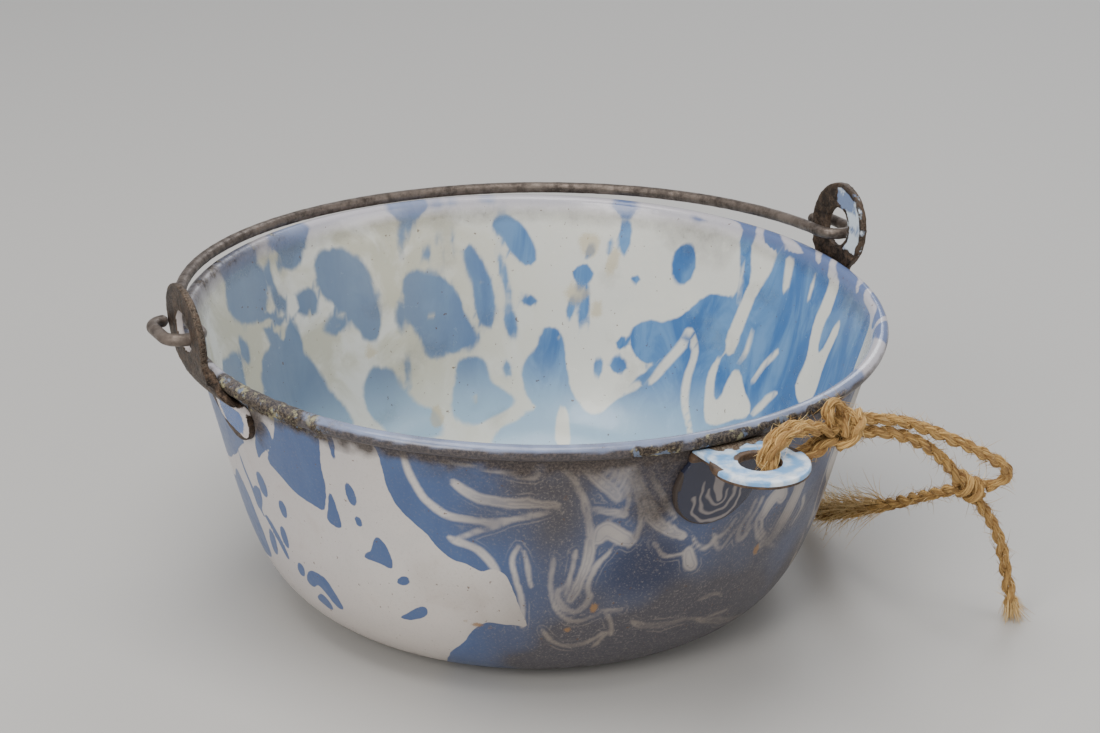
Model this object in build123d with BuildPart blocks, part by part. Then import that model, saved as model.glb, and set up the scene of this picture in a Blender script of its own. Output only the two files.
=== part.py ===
from build123d import *
from math import asin, cos, degrees, pi, radians, sin, tan
import os

os.makedirs("parts", exist_ok=True)

# Enamelled preserving kettle with a wire bail.
# The origin is the middle of the flat base, the bail ears stand on +X and -X, the tipping ear
# sticks out near -Y, and the bail lies back over the rim on +Y.

# Pot
rim_radius = 115.0
pot_height = 96.2
base_radius = 55.1
sheet = 1.5
bead_radius = 2.4
enamel = 0.05
wall_lean = 16.0
base_roundness = 42.9
wall_pull = 67.5
curl_end = 255.0

# Bail ears
ear_plate = 2.4
ear_ring_radius = 15.0
ear_hole_radius = 6.5
ear_foot_radius = 9.5
ear_foot_height = 84.0
ear_neck_radius = 10.0
ear_neck_height = 101.0
ear_bend_height = 87.0
ear_waist_height = 92.5
ear_bend_radii = (4.0, 5.0)
strap_lap = (0.06, 0.18)
pivot_height = 106.0
ear_lean = 5.8
left_foot_shift = -15.0
right_foot_shift = 1.0
foot_depth = 0.3
rim_gap = 0.3

# Tipping ear
tip_plate = 2.4
tip_top = 91.2
tip_reach = 128.0
tip_ring_radius = 14.5
tip_hole_radius = 6.2
tip_pad_radius = 15.0
tip_pad_height = 77.0
tip_neck_width = 24.0
tip_turn = 3.5
tip_bend_radius = 4.6
tip_foot_depth = 0.5
tip_space = 20.0

# Bail
wire_radius = 2.0
bail_radius = 112.6
bail_forward = 3.6
bail_sink = 2.0
hook_radius = 5.8
hook_leg = 9.2
hook_tip_turn = 95.0
bail_back_height = 97.4

# Twine
twine_diameter = 3.4

bead_center = (rim_radius - bead_radius, pot_height - bead_radius)
curl_radius = bead_radius - sheet
wall_top = (
    bead_center[0] - curl_radius * cos(radians(wall_lean)),
    bead_center[1] + curl_radius * sin(radians(wall_lean)),
)
wall_handle = (
    wall_top[0] - wall_pull * sin(radians(wall_lean)),
    wall_top[1] - wall_pull * cos(radians(wall_lean)),
)
curl_gap = (180 - wall_lean, curl_end)

# The inner face of the wall runs one sheet thickness inside the outer one.
inner_top = (
    wall_top[0] - sheet * cos(radians(wall_lean)),
    wall_top[1] + sheet * sin(radians(wall_lean)),
)
handle_trim = sheet * 4 / 3 * tan(radians(90 - wall_lean) / 4)
inner_handle = (
    inner_top[0] - (wall_pull - handle_trim) * sin(radians(wall_lean)),
    inner_top[1] - (wall_pull - handle_trim) * cos(radians(wall_lean)),
)


def outer_wall(grown=0.0):
    """The outer face of the wall, from the edge of the base up to the rolled rim."""
    corner = (base_radius + grown, 0)
    corner_handle = (corner[0] + base_roundness, 0)
    top_handle = (wall_handle[0] + grown, wall_handle[1])
    return Bezier(corner, corner_handle, top_handle, (wall_top[0] + grown, wall_top[1]))


def coated_pot():
    """Half the outline of the pot and its coat of enamel, which the feet of the ears lie on."""
    coat = outer_wall(grown=enamel)
    Polyline(coat @ 1, (0, wall_top[1]), (0, 0), coat @ 0)


def inner_wall():
    """The inner face of the wall, from the edge of the base up to the rolled rim."""
    inner_roundness = base_roundness - handle_trim
    corner = (base_radius, sheet)
    return Bezier(corner, (base_radius + inner_roundness, sheet), inner_handle, inner_top)


def wall_point(height, sunk=0.0):
    """The point of the wall's outer face at this height, moved into the wall by sunk."""
    curve = outer_wall()
    low = 0.0
    high = 1.0
    for halving in range(40):
        middle = (low + high) / 2
        if (curve @ middle).Y < height:
            low = middle
        else:
            high = middle
    return ((curve @ low).X - sunk, height)


def curl_ray(angle):
    """A point well outside the rolled rim, in this direction from its middle."""
    reach = 4 * bead_radius
    return (
        bead_center[0] + reach * cos(radians(angle)),
        bead_center[1] + reach * sin(radians(angle)),
    )


def report_bends(name, route, radii):
    """Print the length of a twine route and the radius of each of its bends."""
    length = sum((Vector(*b) - Vector(*a)).length for a, b in zip(route, route[1:]))
    print(name, "points", len(route), "polyline length", round(length, 1))
    print("  bend radii", [round(radius, 1) for radius in radii])


def bend_radii(route):
    """One radius for each corner of a route, as large as its two runs allow."""
    radii = []
    for before, corner, after in zip(route, route[1:], route[2:]):
        arriving = Vector(*corner) - Vector(*before)
        leaving = Vector(*after) - Vector(*corner)
        half_turn = radians(arriving.get_angle(leaving)) / 2
        radii.append(0.45 * min(arriving.length, leaving.length) / tan(half_turn))
    return radii


def twine(name, route):
    """A round length of twine along straight runs joined by tangent arcs."""
    radii = bend_radii(route)
    report_bends(name, route, radii)
    with BuildPart() as length_of_twine:
        with BuildLine() as path:
            FilletPolyline(*route, radius=radii)
        with BuildSketch(Plane(origin=path.line @ 0, z_dir=path.line % 0)):
            Circle(twine_diameter / 2)
        sweep(transition=Transition.ROUND)
    swept_length = path.wire().length
    ideal_volume = pi * (twine_diameter / 2) ** 2 * swept_length
    print("  swept length", round(swept_length, 1))
    print("  volume ratio", round(length_of_twine.part.volume / ideal_volume, 4))
    length_of_twine.part.label = name
    return length_of_twine.part


# Pot body: one sheet from the middle of the base, up the wall and outwards round the rim.
with BuildPart() as pot_body:
    with BuildSketch(Plane.XZ) as pot_section:
        with Locations(bead_center):
            Circle(bead_radius)
            Circle(curl_radius, mode=Mode.SUBTRACT)
        with BuildLine():
            Polyline(bead_center, *(curl_ray(angle) for angle in curl_gap), bead_center)
        make_face(mode=Mode.SUBTRACT)
        with BuildLine():
            outer_wall()
            inner_wall()
            Line(wall_top, inner_top)
            Polyline((base_radius, 0), (0, 0), (0, sheet), (base_radius, sheet))
        make_face()
    revolve(axis=Axis.Z)
pot_body.part.label = "pot_body"
export_step(pot_body.part, "parts/pot_body.step")

# Bail ears: a strap welded to the wall, bent round the rim, with a flat ring standing above it.
# The straps are drawn longer than the ears, then cut to the outline of each ear.
ear_low = wall_point(ear_foot_height - ear_foot_radius - ear_plate, sunk=foot_depth)
ear_bend = wall_point(ear_bend_height, sunk=foot_depth)
ear_waist = (rim_radius + rim_gap, ear_waist_height)
ear_rise = pivot_height + ear_ring_radius + ear_plate - ear_waist_height
ear_tip = (ear_waist[0] + ear_rise * tan(radians(ear_lean)), ear_waist_height + ear_rise)
ring_start = Vector(*ear_waist) + (Vector(*ear_tip) - Vector(*ear_waist)) * strap_lap[0]
strap_end = Vector(*ear_waist) + (Vector(*ear_tip) - Vector(*ear_waist)) * strap_lap[1]


def bail_ear(name, foot_shift):
    """A bail ear on +X whose foot stands foot_shift along the wall from its ring."""
    with BuildPart() as outline:
        with BuildSketch(Plane.YZ.offset(base_radius)):
            with Locations((foot_shift, ear_foot_height)):
                Circle(ear_foot_radius)
            with Locations((0, ear_neck_height)):
                Circle(ear_neck_radius)
            make_hull()
            with Locations((0, pivot_height)):
                Circle(ear_ring_radius)
                Circle(ear_hole_radius, mode=Mode.SUBTRACT)
        extrude(amount=rim_radius)
    with BuildPart() as ring:
        with BuildSketch(Plane.XZ):
            with BuildLine():
                Line(ring_start, ear_tip)
                offset(amount=ear_plate, side=Side.RIGHT, closed=True)
            make_face()
        extrude(amount=ear_ring_radius + ear_plate, both=True)
    with BuildPart() as ear:
        with BuildSketch(Plane.XZ):
            with BuildLine():
                FilletPolyline(ear_low, ear_bend, ear_waist, strap_end, radius=ear_bend_radii)
                offset(amount=ear_plate, side=Side.RIGHT, closed=True)
            make_face()
            with BuildLine():
                coated_pot()
            make_face(mode=Mode.SUBTRACT)
        revolve(axis=Axis.Z)
        add(ring.part)
        add(outline.part, mode=Mode.INTERSECT)
    ear.part.label = name
    return ear.part


right_bail_ear = bail_ear("right_bail_ear", right_foot_shift)
export_step(right_bail_ear, "parts/right_bail_ear.step")

with BuildPart() as left_bail_ear:
    mirror(bail_ear("left_bail_ear", left_foot_shift), about=Plane.YZ)
left_bail_ear.part.label = "left_bail_ear"
export_step(left_bail_ear.part, "parts/left_bail_ear.step")

# Tipping ear: a pad on the wall, bent outwards under the rim into a level ring.
tip_front = Plane.XZ.rotated((0, 0, tip_turn))
tip_plan = Plane.XY.rotated((0, 0, tip_turn))
with BuildPart() as tip_outline:
    with BuildSketch(tip_front.offset(rim_radius - tip_pad_radius)):
        with Locations((0, tip_pad_height)):
            Circle(tip_pad_radius)
        with Locations((0, (tip_pad_height + tip_top) / 2)):
            Rectangle(tip_neck_width, tip_top - tip_pad_height)
    extrude(amount=tip_space)
    with BuildSketch(tip_plan.offset(tip_top - 2 * tip_plate)):
        with Locations((0, -tip_reach)):
            Circle(tip_ring_radius)
        with Locations((0, -(tip_reach + bead_center[0]) / 2)):
            Rectangle(tip_neck_width, tip_reach - bead_center[0])
        with Locations((0, -tip_reach)):
            Circle(tip_hole_radius, mode=Mode.SUBTRACT)
    extrude(amount=3 * tip_plate)

tip_low = wall_point(tip_pad_height - tip_pad_radius - tip_plate, sunk=tip_foot_depth)
tip_corner = wall_point(tip_top)
tip_end = (tip_reach + tip_ring_radius + tip_plate, tip_top)

with BuildPart() as tipping_ear:
    with BuildSketch(Plane.XZ):
        with BuildLine():
            FilletPolyline(tip_low, tip_corner, tip_end, radius=tip_bend_radius)
            offset(amount=tip_plate, side=Side.RIGHT, closed=True)
        make_face()
        with BuildLine():
            coated_pot()
        make_face(mode=Mode.SUBTRACT)
    revolve(axis=Axis.Z)
    add(tip_outline.part, mode=Mode.INTERSECT)
tipping_ear.part.label = "tipping_ear"
export_step(tipping_ear.part, "parts/tipping_ear.step")

# Bail: one round wire, a half circle with a hook at each end that goes out through the ear,
# round the back of its ring and in again. It swings about the middle of the ear holes.
hook_center = bail_radius + hook_radius
bail_drop = pivot_height - bail_back_height - bail_sink
bail_tilt = degrees(asin(bail_drop / (bail_radius + bail_forward)))
bail_plane = Plane(origin=(0, 0, pivot_height)).rotated((-bail_tilt, 0, 0)).offset(-bail_sink)

with BuildPart() as bail:
    with BuildLine(bail_plane) as bail_path:
        CenterArc((hook_center, bail_forward + hook_leg), hook_radius, hook_tip_turn, -hook_tip_turn)
        Line(
            (hook_center + hook_radius, bail_forward + hook_leg),
            (hook_center + hook_radius, bail_forward),
        )
        CenterArc((hook_center, bail_forward), hook_radius, 0, -180)
        CenterArc((0, bail_forward), bail_radius, 0, 180)
        CenterArc((-hook_center, bail_forward), hook_radius, 0, -180)
        Line(
            (-hook_center - hook_radius, bail_forward),
            (-hook_center - hook_radius, bail_forward + hook_leg),
        )
        CenterArc((-hook_center, bail_forward + hook_leg), hook_radius, 180, -hook_tip_turn)
    with BuildSketch(Plane(origin=bail_path.line @ 0, z_dir=bail_path.line % 0)):
        Circle(wire_radius)
    sweep()
bail.part.label = "bail"
export_step(bail.part, "parts/bail.step")

# Twine: it is doubled through the hole of the tipping ear and knotted beside it. Two strands run
# on to a second knot, and two loose tails leave that one.
hitch_angle = 17.0
hitch_width = 7.0
knot_reach = 37.0
knot_height = 90.2
tip_hole = (tip_reach * sin(radians(tip_turn)), -tip_reach * cos(radians(tip_turn)))
hitch_plane = Plane(
    origin=(tip_hole[0], tip_hole[1], 0),
    x_dir=(cos(radians(hitch_angle)), sin(radians(hitch_angle)), 0),
    z_dir=(sin(radians(hitch_angle)), -cos(radians(hitch_angle)), 0),
)
knot_middle = hitch_plane.from_local_coords((knot_reach, knot_height, 0))
end_knot_middle = (100.8, -104.9, 54.8)
end_knot_run = (0.86, -0.1, -0.5)
end_knot_side = (0.1, 0.99, -0.026)
knot_half_length = 5.8
knot_half_width = 5.2
end_knot_half_length = 6.8
end_knot_half_width = 4.6
knot_shoulder = 0.6
knot_rounding = 1.6

upper_strand_route = [
    (46.5, -115.5, 92.4),
    (60.5, -114.4, 89.8),
    (74.5, -114.0, 83.8),
    (88.0, -113.4, 76.4),
    (100.5, -112.6, 69.0),
    (110.2, -111.4, 62.4),
    (112.2, -109.0, 56.4),
    (106.2, -106.8, 54.6),
]
lower_strand_route = [
    (46.0, -116.0, 88.2),
    (57.0, -115.2, 86.4),
    (67.5, -113.8, 82.4),
    (77.5, -112.0, 76.6),
    (87.6, -109.4, 67.9),
    (96.3, -106.6, 58.6),
]
front_tail_route = [
    (103.2, -104.4, 51.0),
    (111.2, -102.8, 42.4),
    (118.3, -101.2, 31.4),
    (122.8, -100.2, 18.0),
    (126.3, -101.0, 4.3),
]
back_tail_route = [
    (97.6, -102.8, 54.0),
    (97.4, -91.0, 47.2),
    (98.4, -77.5, 39.0),
    (98.2, -62.5, 30.2),
    (98.8, -47.5, 22.2),
    (100.7, -33.5, 15.2),
    (103.4, -22.0, 9.2),
]

upper_strand = twine("twine_upper_strand", upper_strand_route)
export_step(upper_strand, "parts/twine_upper_strand.step")
lower_strand = twine("twine_lower_strand", lower_strand_route)
export_step(lower_strand, "parts/twine_lower_strand.step")
front_tail = twine("twine_front_tail", front_tail_route)
export_step(front_tail, "parts/twine_front_tail.step")
back_tail = twine("twine_back_tail", back_tail_route)
export_step(back_tail, "parts/twine_back_tail.step")

# The loop of doubled twine round the ring of the tipping ear.
with BuildPart() as twine_hitch:
    with BuildSketch(hitch_plane) as hitch_section:
        with BuildLine():
            FilletPolyline(
                (1.0, 84.8),
                (18.6, 84.8),
                (33.0, 87.2),
                (33.0, 94.0),
                (12.0, 99.4),
                (1.0, 94.0),
                radius=[4.0, 6.0, 3.0, 3.0, 6.0, 4.0],
                close=True,
            )
        make_face()
        offset(amount=-twine_diameter, mode=Mode.SUBTRACT)
    extrude(amount=hitch_width / 2, both=True)
twine_hitch.part.label = "twine_hitch"



def knot_body(name, plane, half_length, half_width, passing):
    """A barrel-shaped knot along the plane's x direction, cut away where other twine passes."""
    shoulder = half_width * knot_shoulder
    with BuildPart() as knot:
        with BuildSketch(plane):
            with BuildLine():
                barrel = FilletPolyline(
                    (-half_length, 0),
                    (-half_length, shoulder),
                    (0, half_width + shoulder / 4),
                    (half_length, shoulder),
                    (half_length, 0),
                    radius=knot_rounding,
                )
                Line(barrel @ 1, barrel @ 0)
            make_face()
        revolve(axis=Axis(plane.origin, plane.x_dir))
        for piece in passing:
            add(piece, mode=Mode.SUBTRACT)
    knot.part.label = name
    return knot.part


# The knot that closes the hitch.
hitch_knot_plane = Plane(origin=knot_middle, x_dir=(0, 0, 1), z_dir=hitch_plane.z_dir)
hitch_knot = knot_body(
    "twine_hitch_knot",
    hitch_knot_plane,
    knot_half_length,
    knot_half_width,
    [twine_hitch.part, upper_strand, lower_strand],
)
export_step(twine_hitch.part, "parts/twine_hitch.step")
export_step(hitch_knot, "parts/twine_hitch_knot.step")

# The knot at the far end, where the two tails leave.
end_knot_plane = Plane(origin=end_knot_middle, x_dir=end_knot_run, z_dir=end_knot_side)
end_knot = knot_body(
    "twine_end_knot",
    end_knot_plane,
    end_knot_half_length,
    end_knot_half_width,
    [upper_strand, lower_strand, front_tail, back_tail],
)
export_step(end_knot, "parts/twine_end_knot.step")
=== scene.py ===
import math
import random

import bpy
import numpy as np
from mathutils import Euler, Matrix, Vector, noise
from mathutils.geometry import interpolate_bezier


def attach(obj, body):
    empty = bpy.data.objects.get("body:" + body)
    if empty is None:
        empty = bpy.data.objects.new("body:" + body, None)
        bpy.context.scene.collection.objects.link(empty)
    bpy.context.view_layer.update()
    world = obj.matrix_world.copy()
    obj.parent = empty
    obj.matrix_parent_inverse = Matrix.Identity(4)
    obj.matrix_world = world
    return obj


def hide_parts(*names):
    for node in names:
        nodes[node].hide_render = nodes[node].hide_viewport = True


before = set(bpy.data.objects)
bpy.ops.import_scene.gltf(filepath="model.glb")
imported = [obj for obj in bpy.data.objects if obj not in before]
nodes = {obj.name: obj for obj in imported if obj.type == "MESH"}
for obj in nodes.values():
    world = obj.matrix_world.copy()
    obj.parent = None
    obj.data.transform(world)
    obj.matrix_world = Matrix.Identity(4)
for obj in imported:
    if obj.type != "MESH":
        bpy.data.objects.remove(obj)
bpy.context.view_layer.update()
MM = 0.001

# The pot's measures, in millimetres, as in the model.
RIM_RADIUS = 115.0
POT_HEIGHT = 96.2
BASE_RADIUS = 55.1
SHEET = 1.5
BEAD_RADIUS = 2.4
WALL_LEAN = math.radians(16.0)
BASE_ROUNDNESS = 42.9
WALL_PULL = 67.5
BEAD = (RIM_RADIUS - BEAD_RADIUS, POT_HEIGHT - BEAD_RADIUS)
PIVOT_HEIGHT = 106.0  # the middle of the bail ears' rings
DEGREE = 1.75  # millimetres along the wall for one degree round it
NO_VEIN = -3.0
PLAIN = 9.0  # swirls are kept between this and its negative


# ---------------------------------------------------------------- camera, light and floor


def make_camera():
    """The camera stands in front and to the left, looking down on the pot."""
    data = bpy.data.cameras.new("camera")
    data.lens = 78.55
    data.sensor_width = 36.0
    data.clip_start = 0.01
    data.clip_end = 20.0
    camera = bpy.data.objects.new("camera", data)
    bpy.context.scene.collection.objects.link(camera)
    place = Vector((-0.3322, -0.6505, 0.3741))
    target = Vector((0.00507, -0.00264, 0.07411))
    turn = (target - place).to_track_quat("-Z", "Y")
    camera.location = place
    camera.rotation_mode = "QUATERNION"
    camera.rotation_quaternion = turn @ Euler((0, 0, math.radians(1.01))).to_quaternion()
    bpy.context.scene.camera = camera


def area_light(name, place, target, size, power, colour):
    """A rectangular lamp that faces the target."""
    data = bpy.data.lights.new(name, "AREA")
    data.shape = "RECTANGLE"
    data.size, data.size_y = size
    data.energy = power
    data.color = colour
    light = bpy.data.objects.new(name, data)
    bpy.context.scene.collection.objects.link(light)
    light.location = place
    aim = Vector(target) - Vector(place)
    light.rotation_euler = aim.to_track_quat("-Z", "Y").to_euler()


def make_studio():
    """Soft light from above and the front left, weak fill from the other sides and the sky."""
    area_light("overhead", (-0.25, -0.1, 1.3), (0, 0, 0.05), (1.0, 0.8), 14.0, (1.0, 0.98, 0.95))
    area_light("front_left", (-1.3, -0.8, 0.9), (0, 0, 0.05), (0.7, 0.7), 15.0, (1.0, 0.97, 0.93))
    area_light("back_right", (1.0, 0.9, 0.9), (0, 0, 0.06), (0.6, 0.6), 5.0, (0.93, 0.96, 1.0))
    area_light("front_right", (0.9, -1.2, 0.6), (0.05, -0.05, 0.05), (0.6, 0.6), 5.0, (1.0, 0.96, 0.92))
    world = bpy.data.worlds.new("studio")
    bpy.context.scene.world = world
    world.use_nodes = True
    sky = world.node_tree.nodes["Background"]
    sky.inputs["Color"].default_value = (0.93, 0.95, 1.0, 1.0)
    sky.inputs["Strength"].default_value = 0.50


def make_floor():
    """A plain pale floor."""
    bpy.ops.mesh.primitive_plane_add(size=12.0, location=(0, 0, 0))
    floor = bpy.context.object
    floor.name = "floor"
    material = bpy.data.materials.new("floor")
    material.use_nodes = True
    shader = material.node_tree.nodes["Principled BSDF"]
    shader.inputs["Base Color"].default_value = (0.50, 0.49, 0.47, 1.0)
    shader.inputs["Roughness"].default_value = 0.6
    floor.data.materials.append(material)


# ---------------------------------------------------------------- node helpers


class Graph:
    """A short way to write a material's nodes."""

    def __init__(self, name):
        self.material = bpy.data.materials.new(name)
        self.material.use_nodes = True
        self.tree = self.material.node_tree
        self.shader = self.tree.nodes["Principled BSDF"]
        self.place = self.node("ShaderNodeTexCoord").outputs["Object"]

    def node(self, kind):
        return self.tree.nodes.new(kind)

    def feed(self, socket, value):
        if isinstance(value, bpy.types.NodeSocket):
            self.tree.links.new(value, socket)
        elif isinstance(value, (tuple, list)) and len(socket.default_value) == 4:
            socket.default_value = (*value, 1.0)
        else:
            socket.default_value = value

    def set(self, **values):
        """Feed the shader's sockets, named with underscores for spaces."""
        for name, value in values.items():
            self.feed(self.shader.inputs[name.replace("_", " ")], value)

    def math(self, kind, first, second=0.0, clamp=False):
        node = self.node("ShaderNodeMath")
        node.operation = kind
        node.use_clamp = clamp
        self.feed(node.inputs[0], first)
        self.feed(node.inputs[1], second)
        return node.outputs[0]

    def times(self, first, second, clamp=False):
        return self.math("MULTIPLY", first, second, clamp)

    def plus(self, first, second, clamp=False):
        return self.math("ADD", first, second, clamp)

    def rest(self, value):
        """What is left of 1."""
        return self.math("SUBTRACT", 1.0, value)

    def centred(self, value, size):
        """A value from 0 to 1, moved and scaled to run from minus to plus half of size."""
        return self.times(self.math("SUBTRACT", value, 0.5), size)

    def attribute(self, name):
        node = self.node("ShaderNodeAttribute")
        node.attribute_name = name
        return node.outputs["Fac"]

    def noise(self, scale, detail=3.0, rough=0.55, warp=0.0, stretch=(1, 1, 1)):
        """Fractal noise of the object's own place; scale is lumps per metre."""
        mapping = self.node("ShaderNodeMapping")
        mapping.inputs["Scale"].default_value = stretch
        self.feed(mapping.inputs["Vector"], self.place)
        node = self.node("ShaderNodeTexNoise")
        node.inputs["Scale"].default_value = scale
        node.inputs["Detail"].default_value = detail
        node.inputs["Roughness"].default_value = rough
        node.inputs["Distortion"].default_value = warp
        self.feed(node.inputs["Vector"], mapping.outputs[0])
        return node.outputs["Fac"]

    def spread(self, value, low, high, smooth=True):
        """From 0 where value is low to 1 where it is high."""
        node = self.node("ShaderNodeMapRange")
        node.interpolation_type = "SMOOTHSTEP" if smooth else "LINEAR"
        self.feed(node.inputs["Value"], value)
        node.inputs["From Min"].default_value = low
        node.inputs["From Max"].default_value = high
        return node.outputs["Result"]

    def mix(self, share, first, second):
        node = self.node("ShaderNodeMix")
        node.data_type = "RGBA"
        self.feed(node.inputs["Factor"], share)
        self.feed(node.inputs[6], first)
        self.feed(node.inputs[7], second)
        return node.outputs[2]

    def blend(self, share, first, second):
        """The same as mix, for plain numbers."""
        node = self.node("ShaderNodeMix")
        self.feed(node.inputs[0], share)
        self.feed(node.inputs[2], first)
        self.feed(node.inputs[3], second)
        return node.outputs[0]

    def bump(self, height, depth):
        """Bump of this depth in metres where height goes from 0 to 1."""
        node = self.node("ShaderNodeBump")
        node.inputs["Distance"].default_value = depth
        self.feed(node.inputs["Height"], height)
        self.feed(self.shader.inputs["Normal"], node.outputs[0])


def ring_faces(rings, around):
    """Faces that join rings of points, and one face across each end."""
    faces = []
    for first in range(0, (rings - 1) * around, around):
        for step in range(around):
            here = first + step
            beside = first + (step + 1) % around
            faces.append((here, beside, beside + around, here + around))
    faces.append(tuple(reversed(range(around))))
    faces.append(tuple(range((rings - 1) * around, rings * around)))
    return faces


def new_mesh(name, points, faces):
    """A smooth-shaded object from points in metres and faces."""
    mesh = bpy.data.meshes.new(name)
    mesh.from_pydata([tuple(p) for p in points], [], faces)
    mesh.validate()
    mesh.update()
    mesh.polygons.foreach_set("use_smooth", [True] * len(mesh.polygons))
    made = bpy.data.objects.new(name, mesh)
    bpy.context.scene.collection.objects.link(made)
    return made


def set_attribute(mesh, name, values):
    attribute = mesh.attributes.new(name, "FLOAT", "POINT")
    attribute.data.foreach_set("value", np.asarray(values, dtype=np.float32).ravel())


# ---------------------------------------------------------------- drawing the swirls
# Shapes are given in degrees round the pot and millimetres of height. They are drawn on the
# unrolled wall, flat, which is each point's millimetres round and up. Each function gives
# the millimetres from a shape's edge to each point, above zero inside the shape.


def smoothstep(low, high, value):
    """From 0 where value is low to 1 where it is high."""
    share = np.clip((value - low) / (high - low), 0, 1)
    return share * share * (3 - 2 * share)


def fade(low, high, value):
    """From 1 where value is low to 0 where it is high."""
    return 1 - smoothstep(low, high, value)


def near(value, middle, inner, outer):
    """1 within inner of the middle, 0 beyond outer."""
    return fade(inner, outer, np.abs(value - middle))


def rounded(points, closed):
    """Cut the corners of an outline twice, so that it looks poured."""
    for cut in range(2):
        following = points[1:] + points[:1] if closed else points[1:]
        cutting = []
        for here, there in zip(points, following):
            for share in (0.25, 0.75):
                cutting.append(tuple(a + (b - a) * share for a, b in zip(here, there)))
        points = cutting if closed else [points[0], *cutting, points[-1]]
    return points


def from_segment(flat, start, end):
    """How far along a straight stretch each point lies, from 0 to 1, and how far off."""
    right = flat[0] - start[0]
    above = flat[1] - start[1]
    run = (end[0] - start[0], end[1] - start[1])
    share = np.clip((right * run[0] + above * run[1]) / (run[0] ** 2 + run[1] ** 2 + 1e-9), 0, 1)
    return share, np.hypot(right - share * run[0], above - share * run[1])


def patch(flat, points):
    """A poured patch with this outline."""
    across, height = flat
    outline = [(x * DEGREE, z) for x, z in rounded(points, True)]
    nearest = np.full(across.shape, np.inf)
    within = np.zeros(across.shape, dtype=bool)
    for (x0, z0), (x1, z1) in zip(outline, outline[1:] + outline[:1]):
        nearest = np.minimum(nearest, from_segment(flat, (x0, z0), (x1, z1))[1])
        if z0 != z1:
            crossing = (z0 > height) != (z1 > height)
            within ^= crossing & (across < x0 + (height - z0) * (x1 - x0) / (z1 - z0))
    return np.where(within, nearest, -nearest)


def spot(flat, degrees, middle, half_width, half_height, lean=0.0):
    """An oval spot, its half width in degrees and half height in millimetres."""
    across, height = flat
    right = across - degrees * DEGREE
    above = height - middle
    turn = math.radians(lean)
    side = right * math.cos(turn) + above * math.sin(turn)
    up = above * math.cos(turn) - right * math.sin(turn)
    half_width = half_width * DEGREE
    reach = np.hypot(side / half_width, up / half_height)
    return (1 - reach) * min(half_width, half_height)


def stream(flat, width, points):
    """A thin stream that narrows towards both ends."""
    line = rounded([(x * DEGREE, z) for x, z in points], False)
    best = np.full(flat[0].shape, -np.inf)
    for number, (start, end) in enumerate(zip(line, line[1:])):
        share, away = from_segment(flat, start, end)
        along = (number + share) / (len(line) - 1)
        taper = 0.35 + 0.65 * np.sqrt(np.clip(np.sin(np.pi * along), 0, 1))
        best = np.maximum(best, width / 2 * taper - away)
    return best


def lumps(x, y, z, size, seed):
    """Smooth noise from about -1 to 1 at each place, with lumps of this size in millimetres."""
    places = np.stack([x, y, z], -1).reshape(-1, 3) / size + 17.3 * seed
    values = [noise.noise(Vector(place)) for place in places]
    return np.array(values).reshape(x.shape)


# A patch is an outline, a stream is its width and its points, and a spot is its middle's
# degrees and height, its half width in degrees, its half height and its lean in degrees.
OUTSIDE_WHITE = [
    (-142, 94), (-140.5, 83), (-140, 76), (-138.5, 68), (-136, 64), (-133.5, 60), (-132, 56),
    (-130, 53), (-127, 51), (-125, 49), (-124, 51), (-122.5, 51), (-120.5, 47), (-119.3, 40),
    (-118.5, 34), (-117.5, 27), (-120, 29.5), (-125, 29.5), (-128, 26), (-130, 20),
    (-134, 11), (-136, 4), (-140, -6), (-205, -6), (-205, 94),
]
OUTSIDE_BLUE_PATCHES = [
    [(-161, 86), (-159, 96), (-151, 96), (-152, 76), (-153, 59), (-157, 61), (-161, 63),
     (-164, 67), (-166.5, 70), (-165, 75), (-163, 80)],
    [(-151.7, 70), (-150, 59), (-151, 55), (-154.2, 57), (-152.6, 61)],
    [(-143.2, 58), (-141.3, 51), (-141.6, 44.5), (-144, 47), (-148, 46), (-145, 51)],
    [(-136, 34), (-135.5, 29), (-138.5, 26.5), (-142, 25.5), (-139.5, 30)],
    [(-164.5, 27), (-163, 31.5), (-158.5, 33.5), (-157, 31), (-156, 26), (-155.7, 21.5),
     (-157.7, 20.5), (-159.2, 26), (-160.5, 27.5), (-162.5, 25.5)],
    [(-163.6, 20), (-160.5, 25), (-158.6, 20), (-160, 17), (-162, 18)],
    [(-182, 55), (-179, 46), (-177.5, 34), (-177.5, 26), (-181, 23), (-192, 19), (-206, 20),
     (-206, 39), (-190, 46), (-185, 53)],
    [(-179, 96), (-171, 96), (-172.5, 73), (-176, 68), (-181, 61), (-190, 54), (-206, 47),
     (-206, 96)],
    [(-164, 86), (-162.6, 80), (-167, 72), (-169.6, 68), (-168.4, 75), (-167, 82)],
]
OUTSIDE_BLUE_SPOTS = [
    (-147.1, 69.8, 1.15, 3.9, 6), (-146.5, 60.2, 0.7, 2.0, 8), (-139.4, 41.3, 1.4, 1.6, 30),
    (-165.2, 31, 1.2, 2.6, -15), (-171.2, 58.2, 1.35, 5.0, -8), (-165.7, 53, 1.25, 3.1, -5),
    (-174.6, 51, 1.6, 5.2, -20), (-167.6, 41.2, 1.25, 4.2, -10), (-174, 35, 1.3, 5.4, -18),
    (-149.2, 87, 0.6, 5.0, -3),
]
OUTSIDE_BLUE_STREAMS = [
    (3.6, [(-173, 45), (-171.5, 42), (-170, 36), (-169.4, 33)]),
    (2.0, [(-178, 64), (-177, 56), (-176, 50), (-174, 44)]),
]
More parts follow.
